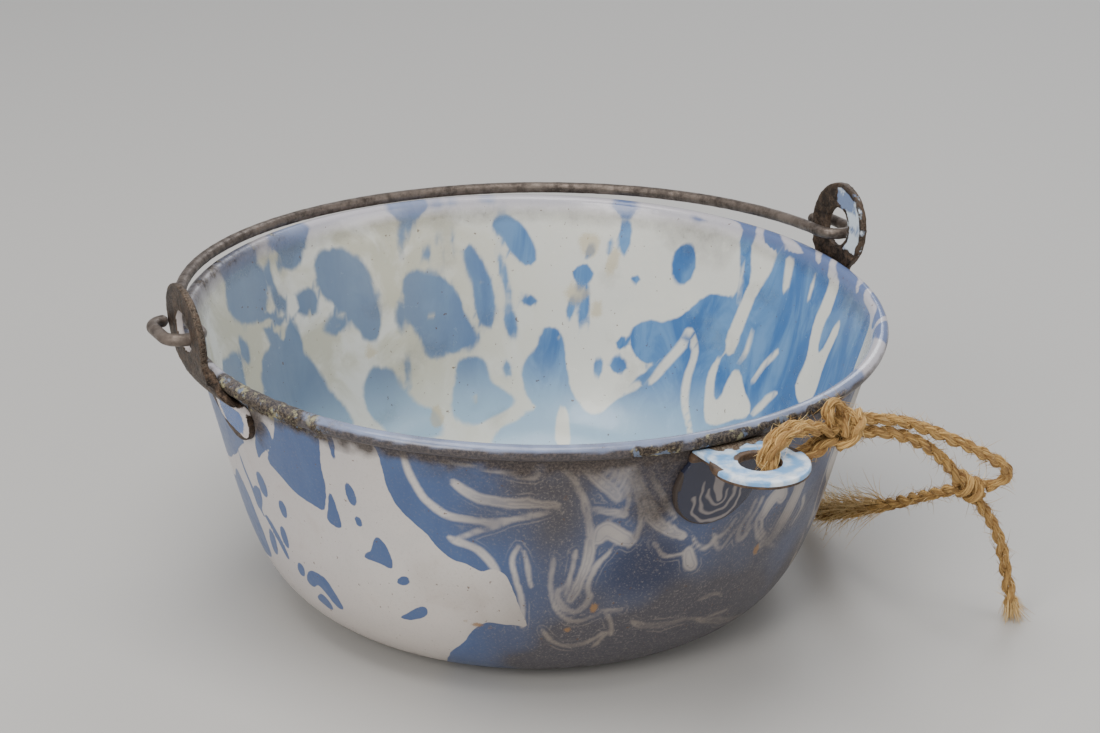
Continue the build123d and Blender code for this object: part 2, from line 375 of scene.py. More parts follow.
OUTSIDE_WHITE_STREAMS = [
    # Under the rim at the front, and the wedge of the white.
    (1.3, [(-131, 88), (-126, 87.5), (-121, 86), (-117, 83.5), (-115.6, 85.5), (-117, 89)]),
    (2.4, [(-137, 90), (-135, 78), (-132.5, 71), (-128, 68), (-122, 68.2), (-114, 71.8)]),
    (1.3, [(-129, 61), (-124, 65.5), (-119, 69.5), (-114, 71.5)]),
    (2.6, [(-130, 61), (-126, 58.5), (-124, 55), (-122.6, 50)]),
    (3.4, [(-129, 81.5), (-126, 77), (-121, 74.8), (-116, 75.4), (-112.6, 74)]),
    (1.5, [(-118.8, 60), (-120.4, 54.5), (-119.4, 48), (-118.4, 41), (-118.2, 34), (-118.5, 28)]),
    (1.3, [(-118.2, 58), (-117.2, 51), (-116.6, 44)]),
    # The long fall down the middle.
    (2.0, [(-113, 90), (-110, 81), (-108.5, 76), (-107.7, 68), (-107.4, 60)]),
    (3.2, [(-107.6, 62), (-107.4, 56), (-107.9, 50), (-108.6, 44), (-110.2, 39)]),
    (1.3, [(-109.6, 58), (-110, 50), (-110.4, 44), (-110.8, 41)]),
    (3.6, [(-110.4, 91), (-107.6, 85), (-105, 80), (-103.2, 75.5)]),
    (1.3, [(-108, 91), (-105, 86), (-103.2, 81), (-102, 76)]),
    (2.6, [(-107, 72.5), (-104.6, 71), (-102.8, 70.2), (-102, 69.4)]),
    (1.3, [(-102.4, 69.6), (-101.4, 74), (-102, 80), (-104, 86), (-106, 91)]),
    (5.2, [(-106.4, 61), (-105, 65.5), (-102.6, 62), (-100.4, 59.4)]),
    (1.4, [(-100.6, 57.4), (-99.4, 60), (-99.2, 69), (-100.4, 76)]),
    # The brown fall beside the tipping ear.
    (3.8, [(-104.4, 92), (-101, 83), (-98.6, 72), (-96.6, 65), (-93.4, 61), (-90.4, 58)]),
    (1.4, [(-101.6, 88), (-99.6, 80), (-97.6, 72.4), (-95.4, 66), (-92.6, 62.4)]),
    (1.3, [(-98.6, 84), (-96.6, 77), (-94.6, 70), (-92.6, 66)]),
    # The hooked end of the fall.
    (1.5, [(-103.6, 57.6), (-106, 52.4), (-106.9, 45), (-106.2, 39)]),
    (2.0, [(-106, 41), (-107.4, 36), (-109.4, 33.8), (-111.8, 37.6), (-112.6, 42.6), (-110.8, 44.6)]),
    (1.3, [(-113.1, 56), (-113.5, 45), (-113, 37), (-110.8, 31.4), (-107.5, 30.2), (-104.6, 32.6)]),
    (1.3, [(-115, 27.4), (-112.4, 21.4), (-108.6, 19.4), (-105, 21.6), (-103.2, 25)]),
    (1.3, [(-103.8, 33.4), (-101.8, 28.4), (-101.4, 23)]),
    (1.3, [(-104.6, 34.4), (-102, 33.6), (-100, 33)]),
    (1.5, [(-104.8, 18.6), (-103.2, 22), (-102.6, 25)]),
    # Low on the right.
    (2.4, [(-97.8, 28), (-95, 24.8), (-91, 24.2), (-86, 23.4)]),
    (1.3, [(-88, 23.8), (-84, 22.8), (-80, 21.2), (-75, 20.8)]),
    (2.4, [(-83, 22.4), (-80, 19.6), (-76, 16.6), (-71, 13.6), (-66, 12)]),
    (1.3, [(-84.4, 31), (-80.6, 31.5), (-78.4, 29.6)]),
    # Under the tipping ear.
    (1.3, [(-96.4, 58), (-94.6, 52.6), (-92, 51), (-89.2, 51.6)]),
    (4.2, [(-89.2, 52.4), (-88.6, 48), (-87.8, 45.4)]),
    (1.3, [(-89, 57.4), (-87.4, 53), (-85.6, 51), (-84, 53.4), (-82.6, 48.6), (-81, 52), (-79.4, 56)]),
    (1.3, [(-84.6, 56), (-83.6, 53.4), (-81.8, 55.4), (-80.2, 60)]),
    (1.6, [(-76.2, 64.4), (-77.2, 59.4), (-79, 56), (-78.8, 50), (-77.2, 50.6), (-76, 54)]),
    (1.3, [(-74.6, 64), (-75.8, 59), (-77.2, 56), (-76.8, 52.4)]),
    (1.5, [(-73.2, 61), (-75.2, 56), (-74.2, 50.4), (-71.2, 45), (-66.5, 40.4)]),
    (1.3, [(-72, 58.4), (-73.6, 55), (-72.6, 50.4), (-70.4, 47)]),
    (5.4, [(-73.6, 56), (-72.4, 61), (-70, 64), (-68.6, 60)]),
    (6.4, [(-64.6, 68), (-63.6, 60), (-65.4, 52), (-68, 46)]),
    (2.4, [(-66.4, 50), (-68.6, 45), (-72.4, 43.6)]),
    (1.3, [(-61, 56), (-59.4, 51), (-62, 46)]),
    # Far left.
    (1.8, [(-184, 79), (-181, 84), (-178, 87)]),
    (2.4, [(-177, 88), (-176, 78), (-173, 72)]),
]
INSIDE_BLUE_PATCHES = [
    [(98, 50), (96, 57), (96, 67), (98, 77), (101, 83), (105, 86), (110, 84), (110.5, 77),
     (108, 69), (105, 63), (102, 55), (100, 49.5)],
    [(124, 75), (122, 84), (125, 92), (130, 96), (135, 94), (138, 87), (138, 79), (134, 73),
     (129, 71)],
    [(111.5, 86), (111, 96), (118, 96), (118.5, 86), (115, 82.5)],
    [(80, 66), (83, 70), (90, 73), (91, 68), (90.4, 57), (88.6, 49), (86, 40), (81, 41),
     (74.4, 42), (75, 48), (78, 57)],
    [(72, 48), (70, 57), (71.4, 66), (74, 75), (75.6, 81), (77.6, 77), (77, 70), (76, 61),
     (73.6, 50)],
    [(64, 69), (62.6, 75), (64, 82), (66, 87), (69.6, 91), (72.5, 87), (69.6, 80), (66.4, 74)],
    [(107, 22), (110, 34), (114, 46), (117.6, 58), (119, 66), (124, 73), (130, 74), (127, 65),
     (124, 54), (127, 61), (131, 60), (133, 50), (134, 36), (128, 24), (118, 20)],
    [(90, 25), (85, 20), (85, 12), (96, 14), (104, 23), (104, 32), (101.6, 39), (98, 41.5),
     (95, 36), (92.4, 29)],
    [(74, 38), (77, 40), (80.6, 37), (80.4, 28), (83, 20), (78, 15), (71, 16), (65, 22),
     (72, 28)],
    [(139, 57), (138, 66), (141, 69), (150, 70), (160, 64), (160, 40), (148, 36), (140, 46)],
    [(112, 64), (110, 71), (113, 75), (118, 73), (121, 78), (120, 84), (117, 88), (123, 90),
     (124, 78), (122, 70), (117, 69)],
    [(-40, 100), (11.6, 100), (11, 90), (12, 83), (14, 77), (16, 84), (18, 91), (20.5, 94),
     (21, 88), (18.4, 80), (18.4, 72), (20, 70), (25, 70), (28, 66), (31, 60), (34, 56),
     (38, 56), (41.6, 52), (41.6, 45), (38, 39.6), (34, 42), (30, 49), (20, 40), (-40, 40)],
    [(-40, 52), (25, 52), (28, 55), (33, 44), (37, 38), (41, 30), (44.6, 22), (50, 19),
     (53.4, 26), (55.4, 36), (56, 43), (57, 48), (59, 50), (61.4, 46), (62, 40), (65, 37),
     (66, 30), (63, 23), (61, 20), (66, 18), (72, 13), (76, 4), (76, -6), (-40, -6)],
]
INSIDE_WHITE_PATCHES = [
    [(11.4, 85), (13, 80), (14.4, 70), (15.4, 60), (16.6, 51.5), (19.2, 49.6), (19.3, 58),
     (17.6, 68), (16.2, 77), (17, 86), (18.4, 90), (13.6, 90)],
    [(8.6, 37), (11, 41.5), (15, 49), (17, 42), (17.6, 35.5), (19, 33), (20, 40), (19.6, 51),
     (21.8, 47), (22, 34), (20.4, 24), (16, 26), (12, 30), (9, 33)],
    [(-14, 82), (-12, 82), (-9.6, 70), (-8, 66), (-7.4, 75), (-9, 86), (-8, 98), (-4, 98),
     (-5, 84), (-4, 72), (-5, 60), (-3, 51), (-7, 47), (-12, 50), (-11.4, 60), (-12.6, 70)],
    [(52, 8), (54.6, 22), (56.6, 22), (57.4, 14), (57, 8)],
]
INSIDE_WHITE_STREAMS = [
    (3.0, [(30, 53), (28, 56), (26.3, 48), (27.2, 38), (26.2, 27), (22.4, 19)]),
    (3.4, [(36, 33), (32, 44), (29, 51)]),
    (2.6, [(38, 33), (41.6, 29), (45, 24)]),
    (2.6, [(2, 46), (5, 41), (8, 34)]),
    (4.0, [(8.6, 99), (7.6, 90), (6.6, 79)]),
    (1.6, [(0, 90), (-0.4, 79)]),
    (3.0, [(122, 62), (126, 70), (131, 71)]),
    (3.6, [(120, 90), (121, 80), (116, 71), (122, 66)]),
    (3.4, [(66, 20), (72, 15), (80, 12)]),
    (1.6, [(12.6, 64), (13.6, 54), (15, 49)]),
    (1.2, [(19.6, 88), (18.2, 78), (17.6, 66)]),
    (2.2, [(4.6, 60), (8.4, 51), (10, 44)]),
]
INSIDE_BLUE_SPOTS = [
    (31.8, 78, 2.5, 7.4, 8), (42, 69, 0.9, 1.7, -30), (45, 84, 1.4, 6.4, -5), (48, 79.5, 0.8, 3, 0),
    (51.5, 78, 1.2, 3.2, 20), (43.4, 46, 1.3, 2.7, 25), (43.4, 38, 1.9, 3.0, 25),
    (48, 36, 1.2, 4.0, 5), (67.6, 50, 1.4, 5.4, -8), (64, 59, 2.0, 1.8, 30), (69, 68, 0.8, 8, -12),
    (79, 80, 0.6, 3.4, 0), (82, 79.5, 0.5, 3.2, 0), (85, 77, 0.8, 2.8, -15),
    (136, 66, 1.9, 3.7, 0), (107, 59, 3.0, 3.0, 0), (91.5, 57, 0.8, 4.0, 0),
    (88, 92, 2.2, 6.0, 0), (91.4, 37, 0.8, 4.4, 10), (89.6, 84, 0.7, 5.0, 6),
    (53, 69, 2.3, 4.4, 30), (51.4, 58, 0.9, 8.0, -4), (53.2, 55, 0.6, 6.0, -4),
    (55.2, 57, 1.0, 4.6, 10), (68.4, 34, 1.0, 3.0, 0),
]
RUST_SPOTS = [
    (-72.4, 43, 0.9, 2.4, 10), (-105.6, 35, 0.9, 2.2, 0), (-126.5, 28.5, 1.0, 1.0, 0),
    (-110, 27, 0.6, 0.8, 0), (-137, 93, 1.2, 1.0, 0), (-107, 33.6, 0.5, 0.8, 0),
    (-104.8, 36, 0.3, 0.5, 0), (-124, 27.6, 0.5, 0.5, 0), (-128.6, 29.4, 0.4, 0.5, 0),
    (-122.4, 29, 0.4, 0.4, 0), (-111.4, 77, 0.8, 0.6, 0), (-135, 31, 0.3, 0.4, 0),
]
STAINS = [
    (52, 80, 2.5, 5, 0), (47, 76, 1.4, 6, 10), (54, 62, 3.2, 4, 0), (50, 57, 2, 3, 0),
    (100, 46, 2, 3, 0), (86, 20, 2, 4, 0),
]
# Each blister's degrees, height and reach.
BLISTERS = [
    (85, 56, 3.4), (73.6, 65, 2.6), (76.4, 24, 3.4), (95, 87, 3.6), (99, 84, 2.6), (92, 83, 2.4),
    (107, 60, 3.2), (118, 67, 3.0), (121, 64, 2.6), (57.5, 45, 2.4), (114, 66, 2.4),
]


def drawn_field(flat, start, patches, spots, streams=(), cuts=()):
    """Millimetres into the blue, from patches, spots and streams of blue less cuts of white."""
    field = start
    for outline in patches:
        field = np.maximum(field, patch(flat, outline))
    for oval in spots:
        field = np.maximum(field, spot(flat, *oval))
    for width, line in streams:
        field = np.maximum(field, stream(flat, width, line))
    for outline in cuts:
        field = np.minimum(field, -patch(flat, outline))
    return field


def vein_field(flat, streams):
    """Millimetres into the nearest white vein."""
    field = np.full(flat[0].shape, NO_VEIN)
    for width, line in streams:
        field = np.maximum(field, stream(flat, width, line))
    return field


def poured_field(x, y, z, seed, lean):
    """Swirls for the sides that aren't drawn: long drips with curling edges."""
    bend = 9.0 * lumps(x, y, z, 34, seed + 1)
    bend2 = 7.0 * lumps(x, y, z, 17, seed + 2)
    wide = lumps(x + bend, y - bend, z * 0.55 + bend2, 24, seed + 3)
    fine = lumps(x + bend2, y + bend, z * 0.5 + bend, 10, seed + 4)
    return (wide + 0.35 * fine + lean) * 16.0


# ---------------------------------------------------------------- pot

OUTER_RINGS = 96
BEAD_RINGS = 16
INNER_RINGS = 44
COLUMNS = 606
OUTSIDE, RIM, INSIDE = range(3)


def wall_profile():
    """Radius, height and side of each ring, from under the base over the rim to the inside."""
    curl = BEAD_RADIUS - SHEET
    top = Vector((BEAD[0] - curl * math.cos(WALL_LEAN), BEAD[1] + curl * math.sin(WALL_LEAN)))
    down = Vector((-math.sin(WALL_LEAN), -math.cos(WALL_LEAN)))
    corner = Vector((BASE_RADIUS, 0))
    handle = Vector((BASE_RADIUS + BASE_ROUNDNESS, 0))
    outer = interpolate_bezier(corner, handle, top + WALL_PULL * down, top, OUTER_RINGS)
    under_bead = math.sqrt(BEAD_RADIUS**2 - curl**2)
    outer = [p for p in outer if p.y < (top + under_bead * down).y - 0.3]
    start = math.degrees(math.atan2(outer[-1].y - BEAD[1], outer[-1].x - BEAD[0]))
    bead = []
    for angle in np.radians(np.linspace(start + 6, 164, BEAD_RINGS)):
        bead.append(Vector(BEAD) + BEAD_RADIUS * Vector((math.cos(angle), math.sin(angle))))
    trim = SHEET * 4 / 3 * math.tan((math.pi / 2 - WALL_LEAN) / 4)
    inner_top = bead[-1]
    inner_corner = Vector((BASE_RADIUS, SHEET))
    inner_handle = Vector((BASE_RADIUS + BASE_ROUNDNESS - trim, SHEET))
    inner_pull = inner_top + (WALL_PULL - trim) * down
    inner = interpolate_bezier(inner_top, inner_pull, inner_handle, inner_corner, INNER_RINGS)
    under = [Vector((r, 0)) for r in (22, 40, 50)]
    bottom = [Vector((r, SHEET)) for r in (50, 43, 35, 26, 17, 8)]
    rings = under + list(outer) + bead + list(inner[1:]) + bottom
    inside = len(inner) - 1 + len(bottom)
    marks = [OUTSIDE] * (len(under) + len(outer)) + [RIM] * len(bead) + [INSIDE] * inside
    return rings, np.array(marks)


class Wall:
    """The pot's points in millimetres and degrees, and the noises that its marks share."""

    def __init__(self, angle, radius, height, marks, turn):
        self.angle = angle
        self.radius = radius
        self.x = radius * np.cos(np.radians(angle))
        self.y = radius * np.sin(np.radians(angle))
        self.z = height
        self.turn = turn
        self.outside = marks == OUTSIDE
        self.inside = marks == INSIDE
        self.sway = 1.3 * self.lumps(11, 5)
        self.swell = 1.1 * self.lumps(7, 6)
        self.blotch = self.lumps(16, 9)
        self.fleck = self.lumps(4.5, 10)
        # Outside, the angles run on from the left over the front to the right without a jump.
        self.seen = np.where(angle > 150, angle - 360, angle)
        self.flat = (self.seen * DEGREE, height)

    def lumps(self, size, seed):
        return lumps(self.x, self.y, self.z, size, seed)

    def pick(self, outside, rim, inside):
        """One of three values for each point, by where it lies."""
        return np.where(self.outside, outside, np.where(self.inside, inside, rim))

    def ovals(self, spots, low, high, rough):
        """How strongly oval marks with rough edges show."""
        shown = np.zeros(self.z.shape)
        for oval in spots:
            shown = np.maximum(shown, smoothstep(low, high, spot(self.flat, *oval) + rough))
        return shown


def outside_swirls(wall):
    """Blue and white veins outside: drawn at the front and left, poured on the rest."""
    shown = smoothstep(-214, -198, wall.seen) * fade(-60, -46, wall.seen)
    swayed = (wall.seen * DEGREE + wall.sway, wall.z + wall.swell)
    drawn = drawn_field(
        swayed, -patch(swayed, OUTSIDE_WHITE), OUTSIDE_BLUE_PATCHES, OUTSIDE_BLUE_SPOTS,
        OUTSIDE_BLUE_STREAMS,
    )
    poured = poured_field(wall.x, wall.y, wall.z, 30, 0.08)
    swirl = np.clip(drawn, -PLAIN, PLAIN) * shown + poured * (1 - shown)
    swayed = (wall.seen * DEGREE + 0.7 * wall.sway, wall.z + 0.7 * wall.swell)
    vein = vein_field(swayed, OUTSIDE_WHITE_STREAMS)
    bent = (wall.x + 4 * wall.blotch, wall.y, wall.z * 0.6 + 5 * wall.fleck)
    threads = 1.1 - 26 * np.abs(lumps(*bent, 21, 71))
    return swirl, np.maximum(vein, np.where(shown < 0.5, threads, NO_VEIN))


def inside_swirls(wall):
    """Blue and white veins inside: drawn at the back and right, poured on the rest."""
    shown = smoothstep(-34, -24, wall.angle) * fade(146, 158, wall.angle)
    shown = shown * smoothstep(1.6, 9, wall.z)
    swayed = (wall.angle * DEGREE + wall.sway, wall.z + wall.swell)
    drawn = drawn_field(
        swayed, np.full(wall.z.shape, -PLAIN), INSIDE_BLUE_PATCHES, INSIDE_BLUE_SPOTS,
        cuts=INSIDE_WHITE_PATCHES,
    )
    poured = poured_field(wall.x, wall.y, wall.z + wall.radius * 0.6, 60, -0.12)
    swirl = np.clip(drawn, -PLAIN, PLAIN) * shown + poured * (1 - shown)
    return swirl, vein_field(swayed, INSIDE_WHITE_STREAMS)


def rim_swirls(wall, below):
    """White stripes on the rim's right, plain glaze at the front, the swirls below elsewhere."""
    right = near(wall.angle, -4, 24, 42)
    wave = np.radians(wall.angle) * 46 + 5 * wall.lumps(18, 8) + wall.turn * 0.03
    stripes = 4.0 * np.sin(wave) + 1.2
    swirl = stripes * right + (1 - right) * (below + 3.5)
    plain_front = near(wall.angle, -112, 50, 62)
    return swirl * (1 - plain_front) + 7.0 * plain_front


def grime_and_shade_marks(wall):
    """Grime beside the ears and on the rim; grime with painted shade under the rim, in the top corner
    inside and on the bead's underside; painted shade and a painted brown reflection round the foot.
    """
    z, blotch, fleck = wall.z, wall.blotch, wall.fleck
    front = smoothstep(-150, -126, wall.seen)
    # The band under the bead is darkened: painted shade where the bead overhangs, with grime.
    band = 87.2 - 0.7 * front
    shade_and_grime_under_rim = smoothstep(band - 3.0, band + 2.5, z + 1.8 * blotch + 2.4 * fleck)
    by_tip = spot(wall.flat, -95.4, 83, 6.4, 20, -12)
    beside_tip = smoothstep(-5, 4, by_tip + 3 * blotch + 2 * fleck)
    by_ear = spot(wall.flat, -166.3, 84.5, 2.2, 8, -8)
    beside_ear = smoothstep(-2, 2.5, by_ear + fleck + blotch)
    smear = smoothstep(70, 92, z + 5 * blotch) * front * 0.34
    # Darker towards the floor: painted shade and a painted brown reflection.
    foot = fade(1, 12, z + 3 * fleck)
    outside = np.maximum(np.maximum(shade_and_grime_under_rim, 0.8 * beside_tip), np.maximum(smear, beside_ear))
    # Darker just under the inner lip: painted shade, with grime.
    corner = near(z, 91, 2, 7)
    inside = 0.20 * smoothstep(-0.1, 0.6, blotch) + 0.28 * corner
    dull_side = near(wall.angle, -112, 52, 66)
    # The bead's underside is darkened: painted shade, with grime.
    shaded_low_rim = fade(6, 36, wall.turn + 14 * fleck + 8 * blotch)
    left_rim = 0.7 * smoothstep(108, 130, wall.angle)
    rim = np.maximum(shaded_low_rim * (0.6 + 0.4 * dull_side), left_rim)
    rim = rim + dull_side * (0.20 + 0.25 * blotch)
    return wall.pick(outside + 0.4 * foot, rim, inside)


def film_and_shade_marks(wall):
    """The dusty film on the front and right of the outside, darker low at the front and towards the
    bottom: dust with painted shade and a painted brown reflection.
    """
    blotch = wall.blotch
    film_and_shade = smoothstep(-137, -109, wall.seen + 9 * blotch) * fade(-20, 10, wall.seen)
    low = smoothstep(-134, -112, wall.seen) * fade(22, 46, wall.z + 6 * blotch)
    film_and_shade = film_and_shade * (0.72 + 0.5 * blotch) + 0.45 * low + 0.15 * fade(4, 30, wall.z)
    return wall.pick(film_and_shade, 0.0, 0.0)


def crust_marks(wall):
    """Crust on the rim and wall by the left ear, above the tipping ear and thinly at the back."""
    left_end = near(wall.seen, -172, 12, 34)
    above_tip = near(wall.angle, -84, 14, 26) * fade(40, 66, wall.turn)
    back_rim = 0.4 * near(wall.angle, 150, 20, 60)
    rim = np.maximum(np.maximum(left_end, above_tip), back_rim)
    outside = left_end * smoothstep(84, 91, wall.z + wall.fleck) * 0.9
    return wall.pick(outside, rim, 0.0) * (0.8 + 0.8 * wall.fleck + 0.3 * wall.blotch)


def pot_attributes(wall):
    """Where the pot is blue, dirty, crusted, rusty or darkened by painted shade, for each of its points.
    """
    swirl_out, vein_out = outside_swirls(wall)
    swirl_in, vein_in = inside_swirls(wall)
    swirl = wall.pick(swirl_out, rim_swirls(wall, swirl_in), swirl_in)
    rust = wall.ovals(RUST_SPOTS, -0.8, 1.0, 0.8 * wall.fleck)
    stains = wall.ovals(STAINS, -1.5, 2.0, 1.4 * wall.fleck + wall.blotch)
    dark = smoothstep(-3, 7, spot(wall.flat, -97.5, 49, 9.5, 12) + 2 * wall.blotch)
    pale = fade(14, 44, wall.z + 3 * wall.blotch)
    return {
        "swirl": np.clip(swirl, -PLAIN, PLAIN),
        "vein": wall.pick(vein_out, NO_VEIN, vein_in),
        "grime_and_shade": np.clip(grime_and_shade_marks(wall), 0, 1),
        "film_and_shade": np.clip(film_and_shade_marks(wall), 0, 1),
        "crust": np.clip(crust_marks(wall), 0, 1),
        "rust": wall.pick(rust, 0.0, stains),
        "tone": wall.pick(-dark, 0.0, pale),
        "inside": wall.pick(0.0, 0.0, 1.0),
        "rim": wall.pick(0.0, 1.0, 0.0),
    }


def columns_around():
    """Angles round the pot, closer together on the front of the wall, where the swirls are fine."""
    share = np.arange(COLUMNS) / COLUMNS
    dense = np.interp(share, [0.0, 0.64, 0.70, 0.96, 1.0], [-200.0, -44.0, -20.0, 145.0, 160.0])
    return np.where(dense < -180, dense + 360, dense)


def make_pot(material):
    """The pressed sheet: base, wall and rolled rim, a little uneven, with blisters inside."""
    rings, marks = wall_profile()
    radius = np.array([ring.x for ring in rings])[:, None].repeat(COLUMNS, 1)
    height = np.array([ring.y for ring in rings])[:, None].repeat(COLUMNS, 1)
    angle = columns_around()[None, :].repeat(len(rings), 0)
    turn = np.degrees(np.arctan2(height - BEAD[1], radius - BEAD[0]))
    wall = Wall(angle, radius, height, marks[:, None].repeat(COLUMNS, 1), turn)
    made = pot_attributes(wall)

    run_r = np.gradient(radius, axis=0)
    run_z = np.gradient(height, axis=0)
    run = np.hypot(run_r, run_z)
    lift = smoothstep(2, 25, height)
    push = 0.22 * wall.lumps(45, 1) * lift
    ripple = 0.05 * wall.lumps(6, 2) * wall.pick(1.0, 0.0, 1.0)
    rough = 0.32 * made["crust"] * (0.4 + wall.lumps(1.8, 3))
    blister = np.zeros(angle.shape)
    for degrees, middle, reach in BLISTERS:
        away = np.hypot((angle - degrees) * DEGREE, height - middle) / reach
        blister = blister + wall.pick(0.0, 0.0, np.exp(-((away * 1.9) ** 2)))
    raised = ripple + rough + blister
    radius = np.minimum(radius + push + run_z / run * raised, RIM_RADIUS + 0.4)
    height = np.maximum(height - run_r / run * raised * lift, 0.0)

    x = radius * np.cos(np.radians(angle)) * MM
    y = radius * np.sin(np.radians(angle)) * MM
    points = np.stack([x, y, height * MM], -1).reshape(-1, 3)
    pot = new_mesh("pot_shell", points, ring_faces(len(rings), COLUMNS))
    made["blister"] = np.clip(blister, 0, 1)
    for name, values in made.items():
        set_attribute(pot.data, name, values)
    pot.data.materials.append(material)
    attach(pot, "pot")
    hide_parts("pot_body")


class Enamel(Graph):
    """The pot's material, with the attributes and noises that its layers share."""

    def __init__(self):
        super().__init__("pot_enamel")
        self.inside = self.attribute("inside")
        self.outside = self.rest(self.inside)
        # dusty film with painted shade and a painted brown reflection on the outside's right and bottom
        self.film_and_shade = self.attribute("film_and_shade")
        self.tone = self.attribute("tone")
        where = self.node("ShaderNodeSeparateXYZ")
        self.feed(where.inputs[0], self.place)
        self.across = where.outputs["X"]
        self.height = where.outputs["Z"]
        self.dull = self.spread(self.across, 0.07, -0.01)
        self.wobble = self.centred(self.noise(330, 3.0), 0.7)
        self.cloud = self.noise(45, 4.0, 0.6, 0.6)
        self.streak = self.noise(60, 4.0, 0.6, 1.2, (1, 1, 0.3))
        self.worn = self.noise(240, 5.0, 0.7)
        self.fine = self.noise(2600, 2.0, 0.7)
        self.powder = self.noise(1300, 3.0, 0.75)

    def edge_field(self):
        """Millimetres into the blue, with edges that are torn and milky inside on the left."""
        torn = self.centred(self.noise(110, 3.0, 0.5, 0.8, (1, 1, 0.45)), 6.0)
        torn = self.times(torn, self.times(self.inside, self.blend(self.dull, 0.25, 1.0)))
        return self.plus(self.plus(self.attribute("swirl"), self.wobble), torn)

    def blue_share(self, field):
        sharp = self.spread(field, -0.14, 0.14)
        soft = self.blend(self.dull, self.spread(field, -0.6, 0.5), self.spread(field, -1.3, 1.1))
        return self.blend(self.inside, sharp, soft)

    def vein_share(self):
        """White veins, with a dark thread inside their edge and a faint echo outside it; they are dimmer
        under the dusty film with its painted shade.
        """
        ripple = self.centred(self.noise(150, 3.0, 0.6, 0.8), 2.6)
        vein = self.plus(self.attribute("vein"), self.times(self.wobble, 0.6))
        vein = self.plus(vein, self.times(ripple, self.times(self.film_and_shade, 0.8)))
        kept = self.spread(self.noise(55, 2.0, 0.5), 0.36, 0.56)
        faded = self.blend(self.times(self.film_and_shade, self.rest(kept)), 1.0, 0.45)
        share = self.times(self.spread(vein, -0.75, 0.6), self.blend(self.film_and_shade, 0.95, 0.74))
        share = self.times(share, faded)
        thread = self.math("ABSOLUTE", self.math("SUBTRACT", vein, 0.95))
        thread = self.times(self.spread(thread, 0.45, 0.05), self.times(self.outside, self.film_and_shade))
        share = self.times(share, self.rest(self.times(thread, 0.45)))
        echo = self.math("ABSOLUTE", self.plus(vein, 1.45))
        echo = self.times(self.spread(echo, 0.42, 0.05), self.spread(self.noise(70, 2.0), 0.46, 0.62))
        echo = self.times(self.times(echo, self.outside), self.blend(self.film_and_shade, 0.0, 0.42))
        return self.math("MAXIMUM", share, echo)

    def outside_colour(self, blue_share, vein_share):
        white = self.mix(self.cloud, (0.56, 0.53, 0.51), (0.71, 0.66, 0.61))
        # The white turns darker and browner towards the bottom: painted shade and a painted brown
        # reflection.
        low = self.plus(self.spread(self.height, 0.052, 0.012), self.spread(self.cloud, 0.55, 0.75))
        white = self.mix(self.times(low, 0.35, True), white, (0.43, 0.36, 0.31))
        # The left side of the white is greyer: painted shade.
        shaded_left = self.spread(self.across, -0.075, -0.105)
        white = self.mix(self.times(shaded_left, 0.4), white, (0.42, 0.39, 0.42))
        # under the dusty film the white and the blue turn dark brown: dust with painted shade and a
        # painted brown reflection
        white = self.mix(self.film_and_shade, white, (0.262, 0.222, 0.186))
        blue = self.mix(self.streak, (0.045, 0.085, 0.215), (0.085, 0.145, 0.30))
        shaded_dusty_blue = self.mix(self.powder, (0.036, 0.038, 0.052), (0.105, 0.088, 0.082))
        blue = self.mix(self.times(self.film_and_shade, 0.95), blue, shaded_dusty_blue)
        blue = self.mix(self.times(self.tone, -0.8, True), blue, (0.020, 0.030, 0.075))
        return self.mix(vein_share, self.mix(blue_share, white, blue), white)

    def inside_colour(self, blue_share, vein_share):
        """Bright at the right, milky and stained at the left, pale towards the bottom."""
        cream = self.mix(self.cloud, (0.62, 0.62, 0.58), (0.76, 0.74, 0.65))
        blue = self.mix(self.spread(self.streak, 0.36, 0.66), (0.045, 0.145, 0.37), (0.135, 0.28, 0.51))
        milk = self.mix(self.cloud, (0.135, 0.180, 0.255), (0.215, 0.275, 0.350))
        blue = self.mix(self.times(self.dull, 0.85), blue, milk)
        stained = self.times(self.dull, self.spread(self.cloud, 0.36, 0.6))
        cream = self.mix(stained, cream, (0.52, 0.50, 0.39))
        pool = self.times(self.math("MAXIMUM", self.tone, 0.0), 0.8)
        blue = self.mix(pool, blue, (0.42, 0.60, 0.74))
        cream = self.mix(self.times(pool, 0.6), cream, (0.80, 0.82, 0.74))
        return self.mix(vein_share, self.mix(blue_share, cream, blue), cream)

    def rim_colour(self, field):
        lilac = self.mix(self.streak, (0.12, 0.160, 0.28), (0.36, 0.41, 0.56))
        right = self.spread(self.across, 0.05, 0.085)
        lilac = self.mix(right, lilac, (0.115, 0.165, 0.33))
        return self.mix(self.spread(field, -1.4, 1.0), (0.50, 0.48, 0.52), lilac)

    def dusted(self, colour):
        """Pale dust outside and dark specks all over."""
        dust = self.times(self.spread(self.powder, 0.52, 0.72), self.outside)
        dust = self.times(dust, self.blend(self.film_and_shade, 0.22, 0.55))
        colour = self.mix(dust, colour, (0.30, 0.265, 0.235))
        specks = self.times(self.spread(self.noise(620, 2.0, 0.5), 0.71, 0.75), 0.75)
        return self.mix(specks, colour, (0.12, 0.065, 0.035))

    def grime_and_shade_share(self):
        mark = self.attribute("grime_and_shade")
        grime_and_shade = self.times(self.plus(mark, self.centred(self.worn, 0.7)), self.spread(mark, 0.0, 0.25))
        return self.spread(grime_and_shade, 0.05, 0.95, False)

    def grimed_and_shaded(self, share, colour):
        # the dark film stands for grime and for painted shade alike
        film = self.spread(self.powder, 0.35, 0.7)
        film = self.mix(film, (0.026, 0.019, 0.017), (0.115, 0.088, 0.072))
        return self.mix(self.times(share, 0.94, True), colour, film)

